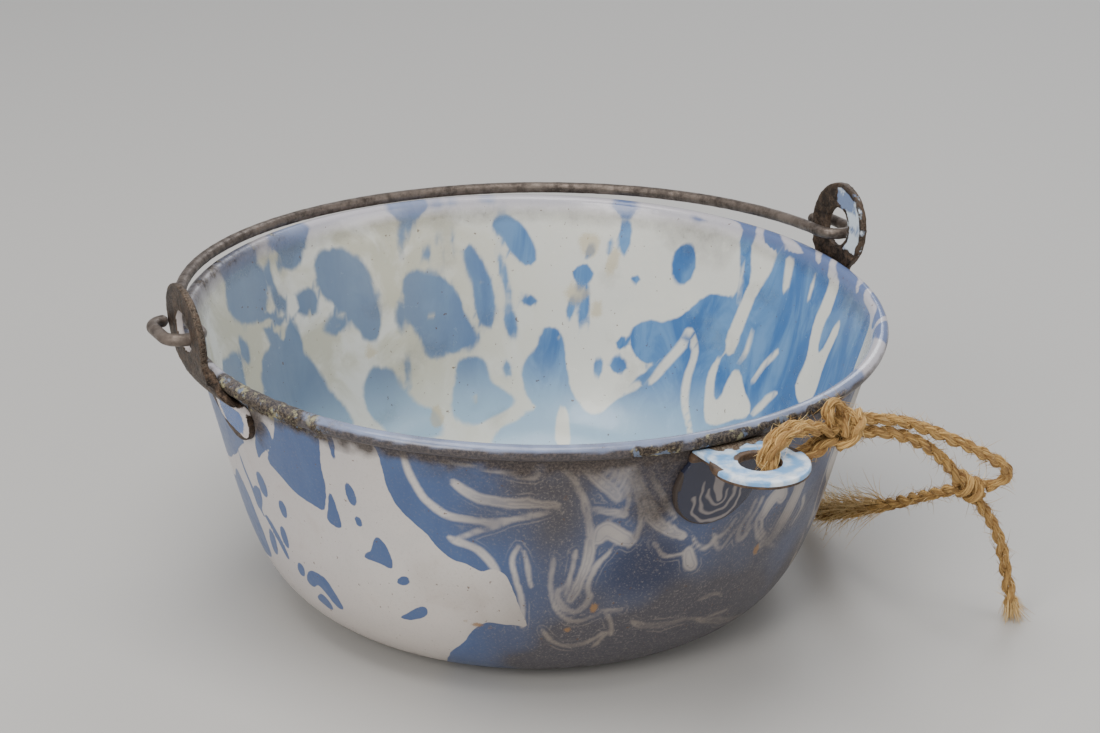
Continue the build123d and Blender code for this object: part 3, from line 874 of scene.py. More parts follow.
    def crust_share(self):
        mark = self.attribute("crust")
        crust = self.plus(mark, self.centred(self.worn, 0.9))
        return self.times(self.spread(crust, 0.30, 0.62), self.spread(mark, 0.0, 0.1))

    def crusted(self, share, colour):
        """Dark scab with yellow and blue flakes."""
        scab = self.mix(self.spread(self.powder, 0.42, 0.62), (0.022, 0.014, 0.010), (0.13, 0.10, 0.066))
        yellow = self.spread(self.noise(210, 4.0, 0.7), 0.53, 0.62)
        scab = self.mix(yellow, scab, (0.34, 0.31, 0.17))
        blue = self.spread(self.noise(170, 4.0, 0.7, 0.4), 0.55, 0.62)
        scab = self.mix(blue, scab, (0.15, 0.19, 0.27))
        return self.mix(self.times(share, 0.92), colour, scab)

    def rusted(self, colour):
        """Rust spots outside, tea-coloured stains and blistered glaze inside."""
        rust = self.plus(self.attribute("rust"), self.math("SUBTRACT", self.fine, 0.5))
        rusty = self.mix(self.inside, (0.27, 0.15, 0.062), (0.50, 0.41, 0.22))
        share = self.times(self.spread(rust, 0.3, 0.8), self.blend(self.inside, 0.85, 0.55))
        colour = self.mix(share, colour, rusty)
        blister = self.times(self.spread(self.attribute("blister"), 0.3, 0.9), 0.8)
        return self.mix(blister, colour, (0.54, 0.51, 0.40))

    def gloss(self, grime_and_shade, crust):
        gloss = self.blend(self.attribute("rim"), self.blend(self.inside, 0.30, 0.19), 0.13)
        gloss = self.plus(gloss, self.times(self.spread(self.worn, 0.4, 0.75), 0.10))
        gloss = self.plus(gloss, self.times(self.film_and_shade, 0.12))
        gloss = self.plus(gloss, self.times(grime_and_shade, 0.26))
        return self.plus(gloss, self.times(crust, 0.45), True)

    def relief(self, crust):
        """Orange peel in the glaze, grit in the film and grain in the crust."""
        peel = self.times(self.noise(420, 2.0, 0.4), 0.30)
        grain = self.times(self.fine, self.plus(self.times(crust, 2.2), 0.10))
        grit = self.times(self.powder, self.times(self.film_and_shade, 0.35))
        return self.plus(self.plus(peel, grain), grit)


def pot_enamel():
    """Blue and white swirled enamel, with grime, rust specks and crust from age, and painted shade and a
    painted brown reflection on the outside.
    """
    g = Enamel()
    field = g.edge_field()
    blue = g.blue_share(field)
    vein = g.vein_share()
    grime_and_shade = g.grime_and_shade_share()
    crust = g.crust_share()
    colour = g.mix(g.inside, g.outside_colour(blue, vein), g.inside_colour(blue, vein))
    colour = g.mix(g.attribute("rim"), colour, g.rim_colour(field))
    colour = g.crusted(crust, g.grimed_and_shaded(grime_and_shade, g.dusted(colour)))
    g.set(Base_Color=g.rusted(colour), Roughness=g.gloss(grime_and_shade, crust), Specular_IOR_Level=0.5)
    g.bump(g.relief(crust), 0.00016)
    return g.material


# ---------------------------------------------------------------- ears

EAR_RING = 15.0
EAR_HOLE = 6.5
EAR_FOOT = 9.5
FOOT_HEIGHT = 84.0
TIPPING_TURN = math.radians(3.5)
TIPPING_REACH = 128.0
TIPPING_RING = 14.5
TIPPING_HOLE = 6.2
TIPPING_HALF_WIDTH = 12.0
TIPPING_TOP = 89.9
LEFT_EAR_COLOURS = ((0.66, 0.60, 0.58), (0.09, 0.17, 0.40), (0.19, 0.15, 0.115))
RIGHT_EAR_COLOURS = ((0.60, 0.66, 0.72), (0.17, 0.23, 0.38), (0.13, 0.095, 0.07))


def softened(node, name, voxel, wear):
    """A copy of a CAD node with rounded edges and a worn, pitted surface, with its points in mm."""
    made = bpy.data.objects.new(name, nodes[node].data.copy())
    bpy.context.scene.collection.objects.link(made)
    made.data.materials.clear()
    remesh = made.modifiers.new("remesh", "REMESH")
    remesh.mode = "VOXEL"
    remesh.voxel_size = voxel
    smooth = made.modifiers.new("smooth", "SMOOTH")
    smooth.factor = 0.5
    smooth.iterations = 5
    graph = bpy.context.evaluated_depsgraph_get()
    mesh = bpy.data.meshes.new_from_object(made.evaluated_get(graph))
    made.modifiers.clear()
    made.data = mesh
    count = len(mesh.vertices)
    places = np.zeros(count * 3)
    normals = np.zeros(count * 3)
    mesh.vertices.foreach_get("co", places)
    mesh.vertices.foreach_get("normal", normals)
    places = places.reshape(-1, 3) / MM
    normals = normals.reshape(-1, 3)
    broad = lumps(*places.T, 5.0, 11)
    pits = lumps(*places.T, 1.3, 12)
    places = places + normals * (wear * (0.6 * broad + 0.5 * pits))[:, None]
    mesh.vertices.foreach_set("co", (places * MM).ravel())
    mesh.polygons.foreach_set("use_smooth", [True] * len(mesh.polygons))
    mesh.update()
    return made, places, normals


def ear_metal(name, light, dark, edge):
    """Chipped enamel over rusty steel: the attribute swirl is its pattern, bare is where it is lost."""
    g = Graph(name)
    worn = g.noise(420, 5.0, 0.72)
    fine = g.noise(1900, 3.0, 0.7)
    bare = g.plus(g.attribute("bare"), g.centred(worn, 0.8))
    bare_share = g.spread(bare, 0.42, 0.56)
    streak = g.noise(190, 4.0, 0.6, 1.5)
    wobble = g.centred(streak, 4.0)
    field = g.plus(g.attribute("swirl"), wobble)
    glaze = g.mix(g.spread(field, -0.5, 0.5), light, dark)
    scale = g.noise(150, 3.0, 0.65)
    rust = g.mix(g.spread(worn, 0.36, 0.62), (0.014, 0.009, 0.006), (0.105, 0.068, 0.044))
    rust = g.mix(g.times(g.spread(scale, 0.5, 0.64), 0.75), rust, (0.022, 0.014, 0.010))
    rust = g.mix(g.times(g.spread(fine, 0.54, 0.70), 0.55), rust, (0.20, 0.15, 0.105))
    worn_edge = g.times(g.attribute("edge"), g.spread(fine, 0.36, 0.62))
    rust = g.mix(g.times(worn_edge, 0.7), rust, edge)
    colour = g.mix(bare_share, glaze, rust)
    gloss = g.blend(bare_share, 0.14, 0.46)
    gloss = g.plus(gloss, g.centred(fine, 0.4), True)
    g.set(Base_Color=colour, Roughness=gloss, Metallic=g.times(bare_share, 0.65))
    height = g.plus(g.times(worn, bare_share), g.times(fine, 0.25))
    g.bump(height, 0.0008)
    return g.material


def rim_distance(y, z, centre, radius):
    """Millimetres inside a circle's edge, seen along X."""
    return radius - np.hypot(y - centre[0], z - centre[1])


def make_bail_ear(node, name, side):
    """A bail ear: rusty strap and ring, with what is left of its enamel."""
    ear, places, normals = softened(node, name, voxel=0.00042, wear=0.12)
    x, y, z = places.T
    foot_y = -15.0 if side < 0 else 1.0
    foot = rim_distance(y, z, (foot_y, FOOT_HEIGHT), EAR_FOOT)
    upright = np.where(z > FOOT_HEIGHT, EAR_FOOT - np.abs(y - foot_y), foot)
    foot = np.where(np.abs(y - foot_y) < EAR_FOOT, upright, foot)
    hole = -rim_distance(y, z, (0.0, PIVOT_HEIGHT), EAR_HOLE)
    ring = rim_distance(y, z, (0.0, PIVOT_HEIGHT), EAR_RING)
    rim = np.minimum(np.abs(hole), np.abs(ring))
    facing_out = np.sign(x) * normals[:, 0]
    if side < 0:
        pad = fade(86.5, 90.5, z) * smoothstep(0.0, 1.4, foot + 0.5)
        bare = 1.0 - pad * smoothstep(76.5, 78.5, z - (y - foot_y) * 0.25)
        bare = np.where((hole < 1.6) & (facing_out < 0.55) & (z > 95), 0.30, bare)
        swirl = np.where(z < 92, foot - 2.3, -3.0)
        colours = LEFT_EAR_COLOURS
    else:
        inner = (facing_out < 0.25) & (z > 93)
        right_limb = smoothstep(-2.0, 3.5, -y + (z - PIVOT_HEIGHT) * 0.25)
        bare = np.where(inner, 1.0 - right_limb * smoothstep(97, 103, z), 1.0)
        frayed = fade(0.9, 2.6, rim)
        bare = np.maximum(bare, 0.62 * frayed + 0.3 * lumps(x, y, z, 2.5, 22))
        swirl = 2.2 * lumps(x, y * 0.6, z * 0.6, 3.6, 21) - 0.5 + smoothstep(109, 117, z)
        colours = RIGHT_EAR_COLOURS
    set_attribute(ear.data, "bare", bare)
    set_attribute(ear.data, "edge", fade(0.3, 1.3, rim) * smoothstep(94, 98, z))
    set_attribute(ear.data, "swirl", swirl)
    ear.data.materials.append(ear_metal(name, *colours))
    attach(ear, "pot")
    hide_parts(node)


# Veins on the pad: width, then millimetres across and up.
PAD_LINES = [
    (0.5, [(-8.4, 74), (-8, 67.5), (-4.6, 63.6), (0, 63), (4.8, 63.8), (8.2, 68), (8, 75)]),
    (0.4, [(-6, 79), (-6.4, 72), (-4.6, 67.4), (0, 65.8), (4.4, 67.2), (6, 72), (5.2, 78)]),
    (0.3, [(-4.2, 76), (-3.6, 71.4), (-0.6, 68.6), (2.6, 69.6), (3.6, 73.6)]),
    (2.8, [(-1.6, 82), (-0.6, 76), (0.4, 71.4)]),
]


def make_tipping_ear():
    """The tipping ear: glossy streaked enamel on its ring, swirls on its pad, bare edges."""
    ear, places, _ = softened("tipping_ear", "tipping_ear_worn", voxel=0.00042, wear=0.09)
    x, y, z = places.T
    side = x * math.cos(TIPPING_TURN) + y * math.sin(TIPPING_TURN)
    reach = -(y * math.cos(TIPPING_TURN) - x * math.sin(TIPPING_TURN))
    around = np.hypot(side, reach - TIPPING_REACH)
    straight = TIPPING_HALF_WIDTH - np.abs(side)
    ring = np.where(reach > TIPPING_REACH, TIPPING_RING - around, straight)
    hole = around - TIPPING_HOLE
    pad = np.where(z < 77, 15 - np.hypot(side, z - 77), 14.2 - np.abs(side))
    top = z > TIPPING_TOP
    level = z > 86.5
    rim = np.where(level, ring, pad)
    bare_top = np.maximum(fade(-0.6, -0.1, rim), fade(-0.2, 0.7, hole))
    grown = reach + 2.5 * lumps(x, y, z, 3.0, 31) + 7.5 * smoothstep(5, 12, -side)
    neck = fade(114.5, 119.5, grown)
    by_hole = fade(0.4, 3.4, hole) * fade(120, 129, reach)
    bare_top = np.maximum(np.maximum(bare_top, neck), 0.9 * by_hole)
    bare_low = np.maximum(fade(0.1, 0.9, rim), 0.25)
    band = 1.0 * np.sin(around * 0.9 + 4.0 * lumps(x, y, z, 6.0, 33)) + 1.6 * lumps(x, y, z, 3.6, 34)
    rippled = (side + lumps(x, y, z, 3.4, 35), z + lumps(x, y, z, 3.4, 36))
    lines = np.full(side.shape, NO_VEIN)
    for width, points in PAD_LINES:
        drawn = [(across / DEGREE, height) for across, height in points]  # stream takes degrees
        lines = np.maximum(lines, stream(rippled, width, drawn))
    set_attribute(ear.data, "bare", np.where(top, bare_top, np.where(level, 1.0, bare_low)))
    set_attribute(ear.data, "swirl", np.where(level, band + 0.4, -0.35 - lines))
    set_attribute(ear.data, "level", np.where(level, 1.0, 0.0))
    set_attribute(ear.data, "crumb", np.where(top, neck, 0.0))
    ear.data.materials.append(tipping_enamel())
    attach(ear, "pot")
    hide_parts("tipping_ear")


def tipping_enamel():
    """Milky blue glaze on the level ring, dark swirled glaze on the pad, rust where it is bare."""
    g = Graph("tipping_enamel")
    level = g.attribute("level")
    worn = g.noise(420, 5.0, 0.72)
    fine = g.noise(1900, 3.0, 0.7)
    streak = g.noise(150, 4.0, 0.6, 2.0)
    field = g.plus(g.attribute("swirl"), g.centred(streak, 5.0))
    share = g.spread(field, -2.0, 1.8)
    bright = g.mix(share, (0.80, 0.87, 0.93), (0.19, 0.40, 0.70))
    swirled = g.spread(g.attribute("swirl"), -0.45, 0.3)
    swirled = g.mix(swirled, (0.215, 0.190, 0.185), (0.026, 0.029, 0.052))
    glaze = g.mix(level, swirled, bright)
    bare = g.plus(g.attribute("bare"), g.centred(worn, 0.7))
    bare_share = g.spread(bare, 0.42, 0.55)
    rust = g.mix(g.spread(worn, 0.3, 0.7), (0.04, 0.025, 0.018), (0.14, 0.085, 0.05))
    rust = g.mix(level, (0.045, 0.032, 0.026), rust)
    crumb = g.mix(g.spread(fine, 0.45, 0.62), rust, (0.34, 0.30, 0.23))
    rust = g.mix(g.times(g.attribute("crumb"), 0.8), rust, crumb)
    colour = g.mix(bare_share, glaze, rust)
    gloss = g.plus(g.blend(bare_share, 0.11, 0.6), g.times(fine, 0.06), True)
    g.set(Base_Color=colour, Roughness=gloss)
    height = g.plus(g.times(worn, bare_share), g.times(fine, 0.2))
    g.bump(height, 0.00022)
    return g.material


# ---------------------------------------------------------------- bail

WIRE_RADIUS = 2.0
BAIL_RADIUS = 112.6
BAIL_FORWARD = 3.6
BAIL_SINK = 2.0
HOOK_RADIUS = 5.8
HOOK_LEG = 9.2
HOOK_TIP_TURN = 95.0
BAIL_BACK_HEIGHT = 97.4


def arc(centre, radius, start, sweep, spacing=1.2):
    """Points along an arc, in degrees."""
    count = max(3, int(abs(math.radians(sweep)) * radius / spacing))
    made = []
    for step in range(count + 1):
        angle = math.radians(start + sweep * step / count)
        made.append((centre[0] + radius * math.cos(angle), centre[1] + radius * math.sin(angle)))
    return made


def bail_line():
    """The wire's middle line, flat in the bail's own plane and then tilted to rest on the rim."""
    hook = BAIL_RADIUS + HOOK_RADIUS
    leg = BAIL_FORWARD + HOOK_LEG
    flat = arc((hook, leg), HOOK_RADIUS, HOOK_TIP_TURN, -HOOK_TIP_TURN, 0.6)
    flat += arc((hook, BAIL_FORWARD), HOOK_RADIUS, 0, -180, 0.6)
    flat += arc((0, BAIL_FORWARD), BAIL_RADIUS, 0, 180)[1:-1]
    flat += arc((-hook, BAIL_FORWARD), HOOK_RADIUS, 0, -180, 0.6)
    flat += arc((-hook, leg), HOOK_RADIUS, 180, -HOOK_TIP_TURN, 0.6)
    drop = PIVOT_HEIGHT - BAIL_BACK_HEIGHT - BAIL_SINK
    tilt = Matrix.Rotation(-math.asin(drop / (BAIL_RADIUS + BAIL_FORWARD)), 3, "X")
    return [tilt @ Vector((x, y, -BAIL_SINK)) + Vector((0, 0, PIVOT_HEIGHT)) for x, y in flat]


def frames_along(line):
    """A side and an up direction at each point of a line, with no sudden twist."""
    runs = []
    for number in range(len(line)):
        before = line[max(number - 1, 0)]
        after = line[min(number + 1, len(line) - 1)]
        runs.append((after - before).normalized())
    side = runs[0].orthogonal().normalized()
    made = []
    for run in runs:
        side = (side - run * side.dot(run)).normalized()
        made.append((side, run.cross(side)))
    return made


def tube(line, radius, sides, frames=None):
    """Points and faces of a closed tube; radius is a function of step and turn, in millimetres."""
    points = []
    for step, (centre, (side, up)) in enumerate(zip(line, frames or frames_along(line))):
        for corner in range(sides):
            turn = 2 * math.pi * corner / sides
            reach = radius(step, turn)
            points.append((centre + (side * math.cos(turn) + up * math.sin(turn)) * reach) * MM)
    return points, ring_faces(len(line), sides)


def old_wire():
    """Worn steel with darker scale and a little rust."""
    g = Graph("old_wire")
    worn = g.noise(300, 5.0, 0.7)
    fine = g.noise(2200, 3.0, 0.7)
    scale = g.noise(60, 3.0, 0.6)
    colour = g.mix(g.spread(worn, 0.3, 0.7), (0.045, 0.033, 0.026), (0.17, 0.135, 0.112))
    colour = g.mix(g.times(g.spread(scale, 0.45, 0.7), 0.45), colour, (0.25, 0.205, 0.17))
    colour = g.mix(g.times(g.spread(fine, 0.58, 0.75), 0.5), colour, (0.34, 0.30, 0.265))
    colour = g.mix(g.times(g.spread(worn, 0.62, 0.75), 0.6), colour, (0.16, 0.07, 0.03))
    gloss = g.blend(g.spread(worn, 0.3, 0.7), 0.58, 0.36)
    g.set(Base_Color=colour, Roughness=gloss, Metallic=0.55)
    g.bump(g.plus(g.times(fine, 0.4), worn), 0.00018)
    return g.material


def make_bail():
    """The bail's wire, slightly uneven, with blunt ends."""
    line = bail_line()
    last = len(line) - 1

    def wire(step, turn):
        place = line[step] / 3.0 + Vector((0, 0, turn * 0.6))
        rough = 0.07 * noise.noise(place) + 0.04 * noise.noise(place * 3.1)
        end = min(step, last - step)
        blunt = (0.55, 0.85, 0.97)[end] if end < 3 else 1.0
        return (WIRE_RADIUS + rough - 0.04) * blunt

    points, faces = tube(line, wire, 22)
    bail = new_mesh("bail_wire", points, faces)
    bail.data.materials.append(old_wire())
    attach(bail, "bail")
    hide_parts("bail")


# ---------------------------------------------------------------- twine

PLY_OFFSET = 0.82
PLY_RADIUS = 0.96
FIBRE_RADIUS = 0.25
PLY_PITCH = 14.0
FIBRE_PITCH = 20.0
FIBRES = 13
SPACING = 0.6
HITCH_TURN = math.radians(17.0)  # the loop's way out of the ear, turned from +X
HAIR_ROOT = 1.35  # stray fibres start this far from the middle
FLOOR_GAP = 0.12  # and stay this far above the floor

UPPER_ROUTE = [
    (46.5, -115.5, 92.4), (60.5, -114.4, 89.8), (74.5, -114.0, 83.8), (88.0, -113.4, 76.4),
    (100.5, -112.6, 69.0), (110.2, -111.4, 62.4), (112.2, -109.0, 56.4), (106.2, -106.8, 54.6),
]
LOWER_ROUTE = [
    (46.0, -116.0, 88.2), (57.0, -115.2, 86.4), (67.5, -113.8, 82.4), (77.5, -112.0, 76.6),
    (87.6, -109.4, 67.9), (96.3, -106.6, 58.6),
]
FRONT_ROUTE = [
    (103.2, -104.4, 51.0), (111.2, -102.8, 42.4), (118.3, -101.2, 31.4), (122.8, -100.2, 18.0),
    (126.3, -101.0, 4.3),
]
BACK_ROUTE = [
    (97.6, -102.8, 54.0), (97.4, -91.0, 47.2), (98.4, -77.5, 39.0), (98.2, -62.5, 30.2),
    (98.8, -47.5, 22.2), (100.7, -33.5, 15.2), (103.4, -22.0, 9.2),
]


def smooth_line(route):
    """The smooth line of a route of control points, read back as points in millimetres."""
    curve = bpy.data.curves.new("route", "CURVE")
    curve.dimensions = "3D"
    curve.resolution_u = 24
    spline = curve.splines.new("NURBS")
    spline.points.add(len(route) - 1)
    for point, place in zip(spline.points, route):
        point.co = (*(Vector(place) * MM), 1.0)
    spline.order_u = 3
    spline.use_endpoint_u = True
    spline.resolution_u = 24
    holder = bpy.data.objects.new("route", curve)
    bpy.context.scene.collection.objects.link(holder)
    graph = bpy.context.evaluated_depsgraph_get()
    mesh = bpy.data.meshes.new_from_object(holder.evaluated_get(graph))
    line = [v.co / MM for v in mesh.vertices]
    bpy.data.objects.remove(holder)
    bpy.data.meshes.remove(mesh)
    return evenly(line)


def length_of(line):
    return sum((after - before).length for before, after in zip(line, line[1:]))


def evenly(line):
    """Points at even distances along a line."""
    lengths = [0.0]
    for before, after in zip(line, line[1:]):
        lengths.append(lengths[-1] + (after - before).length)
    count = max(4, int(lengths[-1] / SPACING))
    made = []
    number = 0
    for step in range(count + 1):
        wanted = lengths[-1] * step / count
        while number < len(line) - 2 and lengths[number + 1] < wanted:
            number += 1
        run = lengths[number + 1] - lengths[number]
        share = (wanted - lengths[number]) / run if run > 1e-9 else 0.0
        made.append(line[number].lerp(line[number + 1], share))
    return made


class Bundle:
    """Fibres gathered into one mesh, each with its own tone from dark to pale."""

    def __init__(self):
        self.points = []
        self.faces = []
        self.tones = []

    def add(self, points, faces, tone):
        first = len(self.points)
        self.points += points
        self.faces += [tuple(first + corner for corner in face) for face in faces]
        self.tones += [tone] * len(points)

    def make(self, name, material):
        made = new_mesh(name, self.points, self.faces)
        set_attribute(made.data, "tone", self.tones)
        made.data.materials.append(material)
        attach(made, "pot")
        return made


def lay_twine(bundle, line, chance, loosen=0.0, start_turn=0.0):
    """Two twisted plies of jute along a line, each ply a core wrapped in coarse fibres."""
    frames = frames_along(line)
    last = len(line) - 1
    spacing = length_of(line) / last
    for ply in range(2):
        middle = []
        for step, (centre, (side, up)) in enumerate(zip(line, frames)):
            turn = start_turn + math.pi * ply + 2 * math.pi * step * spacing / PLY_PITCH
            swell = 1.0 + 0.10 * noise.noise(centre / 5.0) + loosen * (step / last) ** 2
            middle.append(centre + (side * math.cos(turn) + up * math.sin(turn)) * PLY_OFFSET * swell)
        ply_frames = frames_along(middle)
        core, faces = tube(middle, lambda step, turn: PLY_RADIUS, 8, ply_frames)
        # The cores show only between the fibres, so their darker tone is painted shade.
        bundle.add(core, faces, 0.25)
        for fibre in range(FIBRES):
            seed = chance.random() * 50
            tone = chance.random()
            thread = []
            for step, (centre, (side, up)) in enumerate(zip(middle, ply_frames)):
                along = step * spacing
                sway = 1.5 * noise.noise(Vector((seed, along / 7.0, 0)))
                turn = 2 * math.pi * (fibre / FIBRES - along / FIBRE_PITCH) + sway
                bulge = 0.42 * noise.noise(Vector((seed, along / 4.0, 9)))
                reach = PLY_RADIUS - 0.04 + bulge
                thread.append(centre + (side * math.cos(turn) + up * math.sin(turn)) * reach)
            strand, faces = tube(thread, lambda step, turn: FIBRE_RADIUS, 5)
            bundle.add(strand, faces, tone)


def hair(bundle, start, aim, length, chance, curl, thick=0.095, pale=0.0):
    """One stray fibre that curls away from the twine."""
    line = [Vector(start)]
    run = Vector(aim).normalized()
    count = max(4, int(length / 1.1))
    swirl = Vector((chance.uniform(-1, 1), chance.uniform(-1, 1), chance.uniform(-1, 1)))
    for step in range(count):
        run = (run + swirl * curl * 0.16 + Vector((0, 0, -0.012))).normalized()
        line.append(line[-1] + run * length / count)
        line[-1].z = max(line[-1].z, FLOOR_GAP)
    last = len(line) - 1
    points, faces = tube(line, lambda step, turn: thick * (1.15 - step / last), 3)
    # pale lifts the tone; on the tufts it is painted light.
    bundle.add(points, faces, pale + (1.25 - pale) * chance.random())


def add_fuzz(bundle, line, chance, hairs, longest):
    """Stray fibres all along a length of twine."""
    frames = frames_along(line)
    for number in range(hairs):
        step = chance.randrange(1, len(line) - 1)
        side, up = frames[step]
        turn = chance.uniform(0, 2 * math.pi)
        away = side * math.cos(turn) + up * math.sin(turn)
        along = (line[step + 1] - line[step - 1]).normalized() * chance.choice((-1, 1))
        aim = away * chance.uniform(0.25, 0.9) + along
        length = chance.uniform(2.0, longest) * chance.uniform(0.5, 1.1)
        hair(bundle, line[step] + away * HAIR_ROOT, aim, length, chance, curl=0.9)


def lay_fuzzy(bundle, route, chance, start_turn, hairs, longest):
    """Twine along a route's smooth line, with its stray fibres."""
    line = smooth_line(route)
    lay_twine(bundle, line, chance, start_turn=start_turn)
    add_fuzz(bundle, line, chance, hairs, longest)


def jute():
    """Straw to golden fibres, darker in patches; tone above 1 is a pale stray fibre, and on the tufts a
    pale tone is painted light.
    """
    g = Graph("jute")
    tone = g.attribute("tone")
    long_grain = g.noise(900, 4.0, 0.7, 0.3)
    shade = g.noise(160, 2.0, 0.5)
    colour = g.mix(tone, (0.24, 0.122, 0.034), (0.63, 0.395, 0.132))
    colour = g.mix(g.times(g.spread(long_grain, 0.5, 0.75), 0.45), colour, (0.76, 0.54, 0.235))
    colour = g.mix(g.times(g.spread(shade, 0.5, 0.7), 0.35), colour, (0.25, 0.13, 0.05))
    colour = g.mix(g.spread(tone, 1.0, 1.2), colour, (0.95, 0.72, 0.36))
    g.set(Base_Color=colour, Roughness=0.8, Sheen_Weight=0.12, Sheen_Roughness=0.4)
    g.set(Sheen_Tint=(0.9, 0.75, 0.5))
    g.bump(long_grain, 0.00015)
    return g.material


def make_hitch(material, chance):
    """The doubled loop through the hole of the tipping ear, and the knot that closes it."""
    hole = TIPPING_REACH * Vector((math.sin(TIPPING_TURN), -math.cos(TIPPING_TURN), 0))
    along = Vector((math.cos(HITCH_TURN), math.sin(HITCH_TURN), 0))
    out = Vector((math.sin(HITCH_TURN), -math.cos(HITCH_TURN), 0))

    def place(run, height, side):
        return hole + along * run + out * side + Vector((0, 0, height))

    loop = Bundle()
    for side in (-1.7, 1.7):
        over = [
            place(31, 91.5, side * 0.9), place(24, 94.6, side), place(14, 97.4, side),
            place(6.5, 96.2, side), place(2.9, 91.5, side * 0.9), place(3.0, 87.4, side * 0.9),
            place(8.0, 85.9, side), place(17, 86.6, side), place(25, 88.2, side),
            place(31, 89.6, side * 0.8),
        ]
        lay_fuzzy(loop, over, chance, side, hairs=190, longest=7.0)
    hitch = loop.make("hitch_loop", material)
    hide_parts("twine_hitch")

    wraps = Bundle()
    middle = place(37, 90.2, 0)
    for number, lean in enumerate((-0.5, 0.45)):
        ring = []
        for step in range(15):
            turn = 2 * math.pi * step / 13 + number * 2.1
            reach_up = 4.1 * math.sin(turn)
            reach_out = 3.5 * math.cos(turn)
            shift = (lean * 4.2) + (step - 7) * 0.20
            ring.append(middle + Vector((0, 0, reach_up)) + out * reach_out + along * shift)
        lay_fuzzy(wraps, ring, chance, number, hairs=110, longest=7.0)
    cross = [
        place(31.5, 87.0, 2.6), place(34, 88.0, 4.4), place(37.5, 90.6, 4.8),
        place(41, 93.2, 3.2), place(43, 94.0, 0.5),
    ]
    lay_twine(wraps, smooth_line(cross), chance, start_turn=1.0)
    stub = [
        place(30, 93.0, 0.0), place(29, 95.6, 1.0), place(27, 98.6, 1.2), place(29.5, 101.0, 0.8),
        place(33, 100.2, 0.4), place(35.6, 96.6, 0.4), place(36, 93.4, 0.2),
    ]
    lay_fuzzy(wraps, stub, chance, 2.0, hairs=50, longest=9.0)
    knot = wraps.make("hitch_knot", material)
    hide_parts("twine_hitch_knot")
    return hitch, knot


def make_end_knot(material, chance):
    """Two wraps round the place where both strands end and both tails begin."""
    wraps = Bundle()
    middle = Vector((100.8, -104.9, 54.8))
    run = Vector((0.86, -0.1, -0.5)).normalized()
    side = Vector((0.1, 0.99, -0.026))
    side = (side - run * side.dot(run)).normalized()
    up = run.cross(side)
    for number, lean in enumerate((-2.6, 2.2)):
        ring = []
        for step in range(14):
            turn = 2 * math.pi * step / 12 + number * 1.7
            ring.append(
                middle + side * 2.9 * math.cos(turn) + up * 3.0 * math.sin(turn)
                + run * (lean + (step - 6.5) * 0.16)
            )
        lay_fuzzy(wraps, ring, chance, number, hairs=90, longest=7.0)
    core = smooth_line([middle - run * 6, middle - run * 2 + up, middle + run * 2 - up, middle + run * 6])
    lay_twine(wraps, core, chance, start_turn=0.5)
    knot = wraps.make("end_knot", material)
    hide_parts("twine_end_knot")
    return knot


def make_run(name, route, material, chance, hairs, longest, loosen=0.0):
    """One free run of twine, with its stray fibres as a piece of their own."""
    line = smooth_line(route)
    bundle = Bundle()
    lay_twine(bundle, line, chance, loosen)
    run = bundle.make(name, material)
    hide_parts("twine_" + name)
    stray = Bundle()
    add_fuzz(stray, line, chance, hairs, longest)
    return run, stray.make(name + "_fuzz", material), line


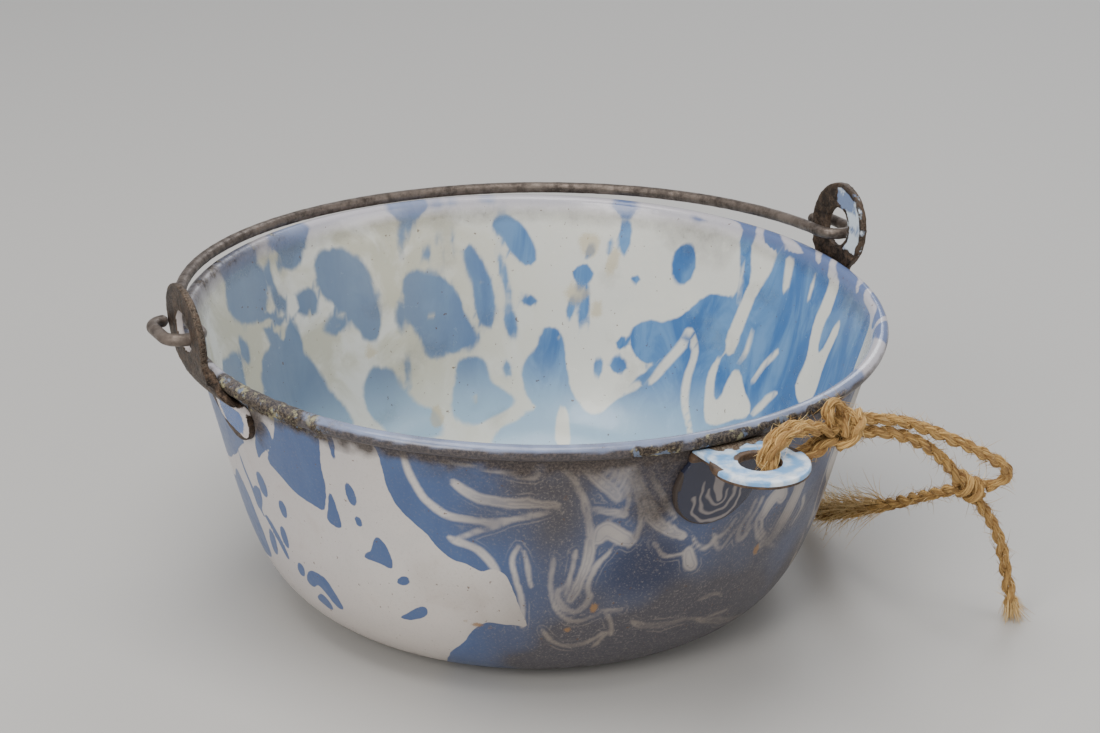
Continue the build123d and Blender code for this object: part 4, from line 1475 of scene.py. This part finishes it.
def make_tuft(name, line, material, chance, hairs, length, spread, start_share, clumps, rise=0.0):
    """The frayed end of a tail: fibres leave its last stretch and fan out in a few clumps, painted pale
    as painted light on a brush that lies in shade.
    """
    bundle = Bundle()
    run = (line[-1] - line[-6]).normalized()
    side = run.orthogonal().normalized()
    up = run.cross(side)
    middles = []
    for clump in range(clumps):
        turn = 2 * math.pi * (clump + chance.random() * 0.5) / clumps
        middles.append((side * math.cos(turn) + up * math.sin(turn)) * spread * 0.6)
    first = int((len(line) - 1) * start_share)
    for number in range(hairs):
        turn = chance.uniform(0, 2 * math.pi)
        wide = math.sqrt(chance.random())
        away = side * math.cos(turn) + up * math.sin(turn)
        step = chance.randrange(first, len(line) - 1)
        start = line[step] + away * wide * 1.5
        lift = middles[number % clumps] + away * wide * spread * 0.5 + Vector((0, 0, rise))
        local = (line[step + 1] - line[step]).normalized()
        reach = length * chance.uniform(0.6, 1.0)
        # pale=0.95 paints these fibres lighter: painted light.
        hair(bundle, start, local + lift, reach, chance, curl=0.16, thick=0.14, pale=0.95)
    return bundle.make(name, material)


def declare_cord(line):
    """Work out this run of twine's length and points in metres; nothing is kept."""
    length_of(line) * MM
    [p * MM for p in line]


def make_twine():
    """The doubled twine: hitch and knots, two strands between them and two frayed tails."""
    material = jute()
    chance = random.Random(41)
    hitch, knot = make_hitch(material, chance)
    end_knot = make_end_knot(material, chance)
    run, fuzz, line = make_run("upper_strand", UPPER_ROUTE, material, chance, hairs=330, longest=8.0)
    declare_cord(line)
    run, fuzz, line = make_run("lower_strand", LOWER_ROUTE, material, chance, hairs=240, longest=7.0)
    declare_cord(line)
    run, fuzz, line = make_run(
        "front_tail", FRONT_ROUTE, material, chance, hairs=280, longest=8.0, loosen=0.5
    )
    tuft = make_tuft(
        "front_tuft", line, material, chance, hairs=190, length=8.5, spread=0.75, start_share=0.90,
        clumps=3,
    )
    declare_cord(line)
    run, fuzz, line = make_run(
        "back_tail", BACK_ROUTE, material, chance, hairs=330, longest=9.0, loosen=1.5
    )
    tuft = make_tuft(
        "back_tuft", line, material, chance, hairs=640, length=26.0, spread=0.36, start_share=0.44,
        clumps=4, rise=0.22,
    )
    declare_cord(line)


make_camera()
make_studio()
make_floor()
make_twine()
make_pot(pot_enamel())
make_bail_ear("left_bail_ear", "left_ear_worn", -1)
make_bail_ear("right_bail_ear", "right_ear_worn", 1)
make_tipping_ear()
make_bail()
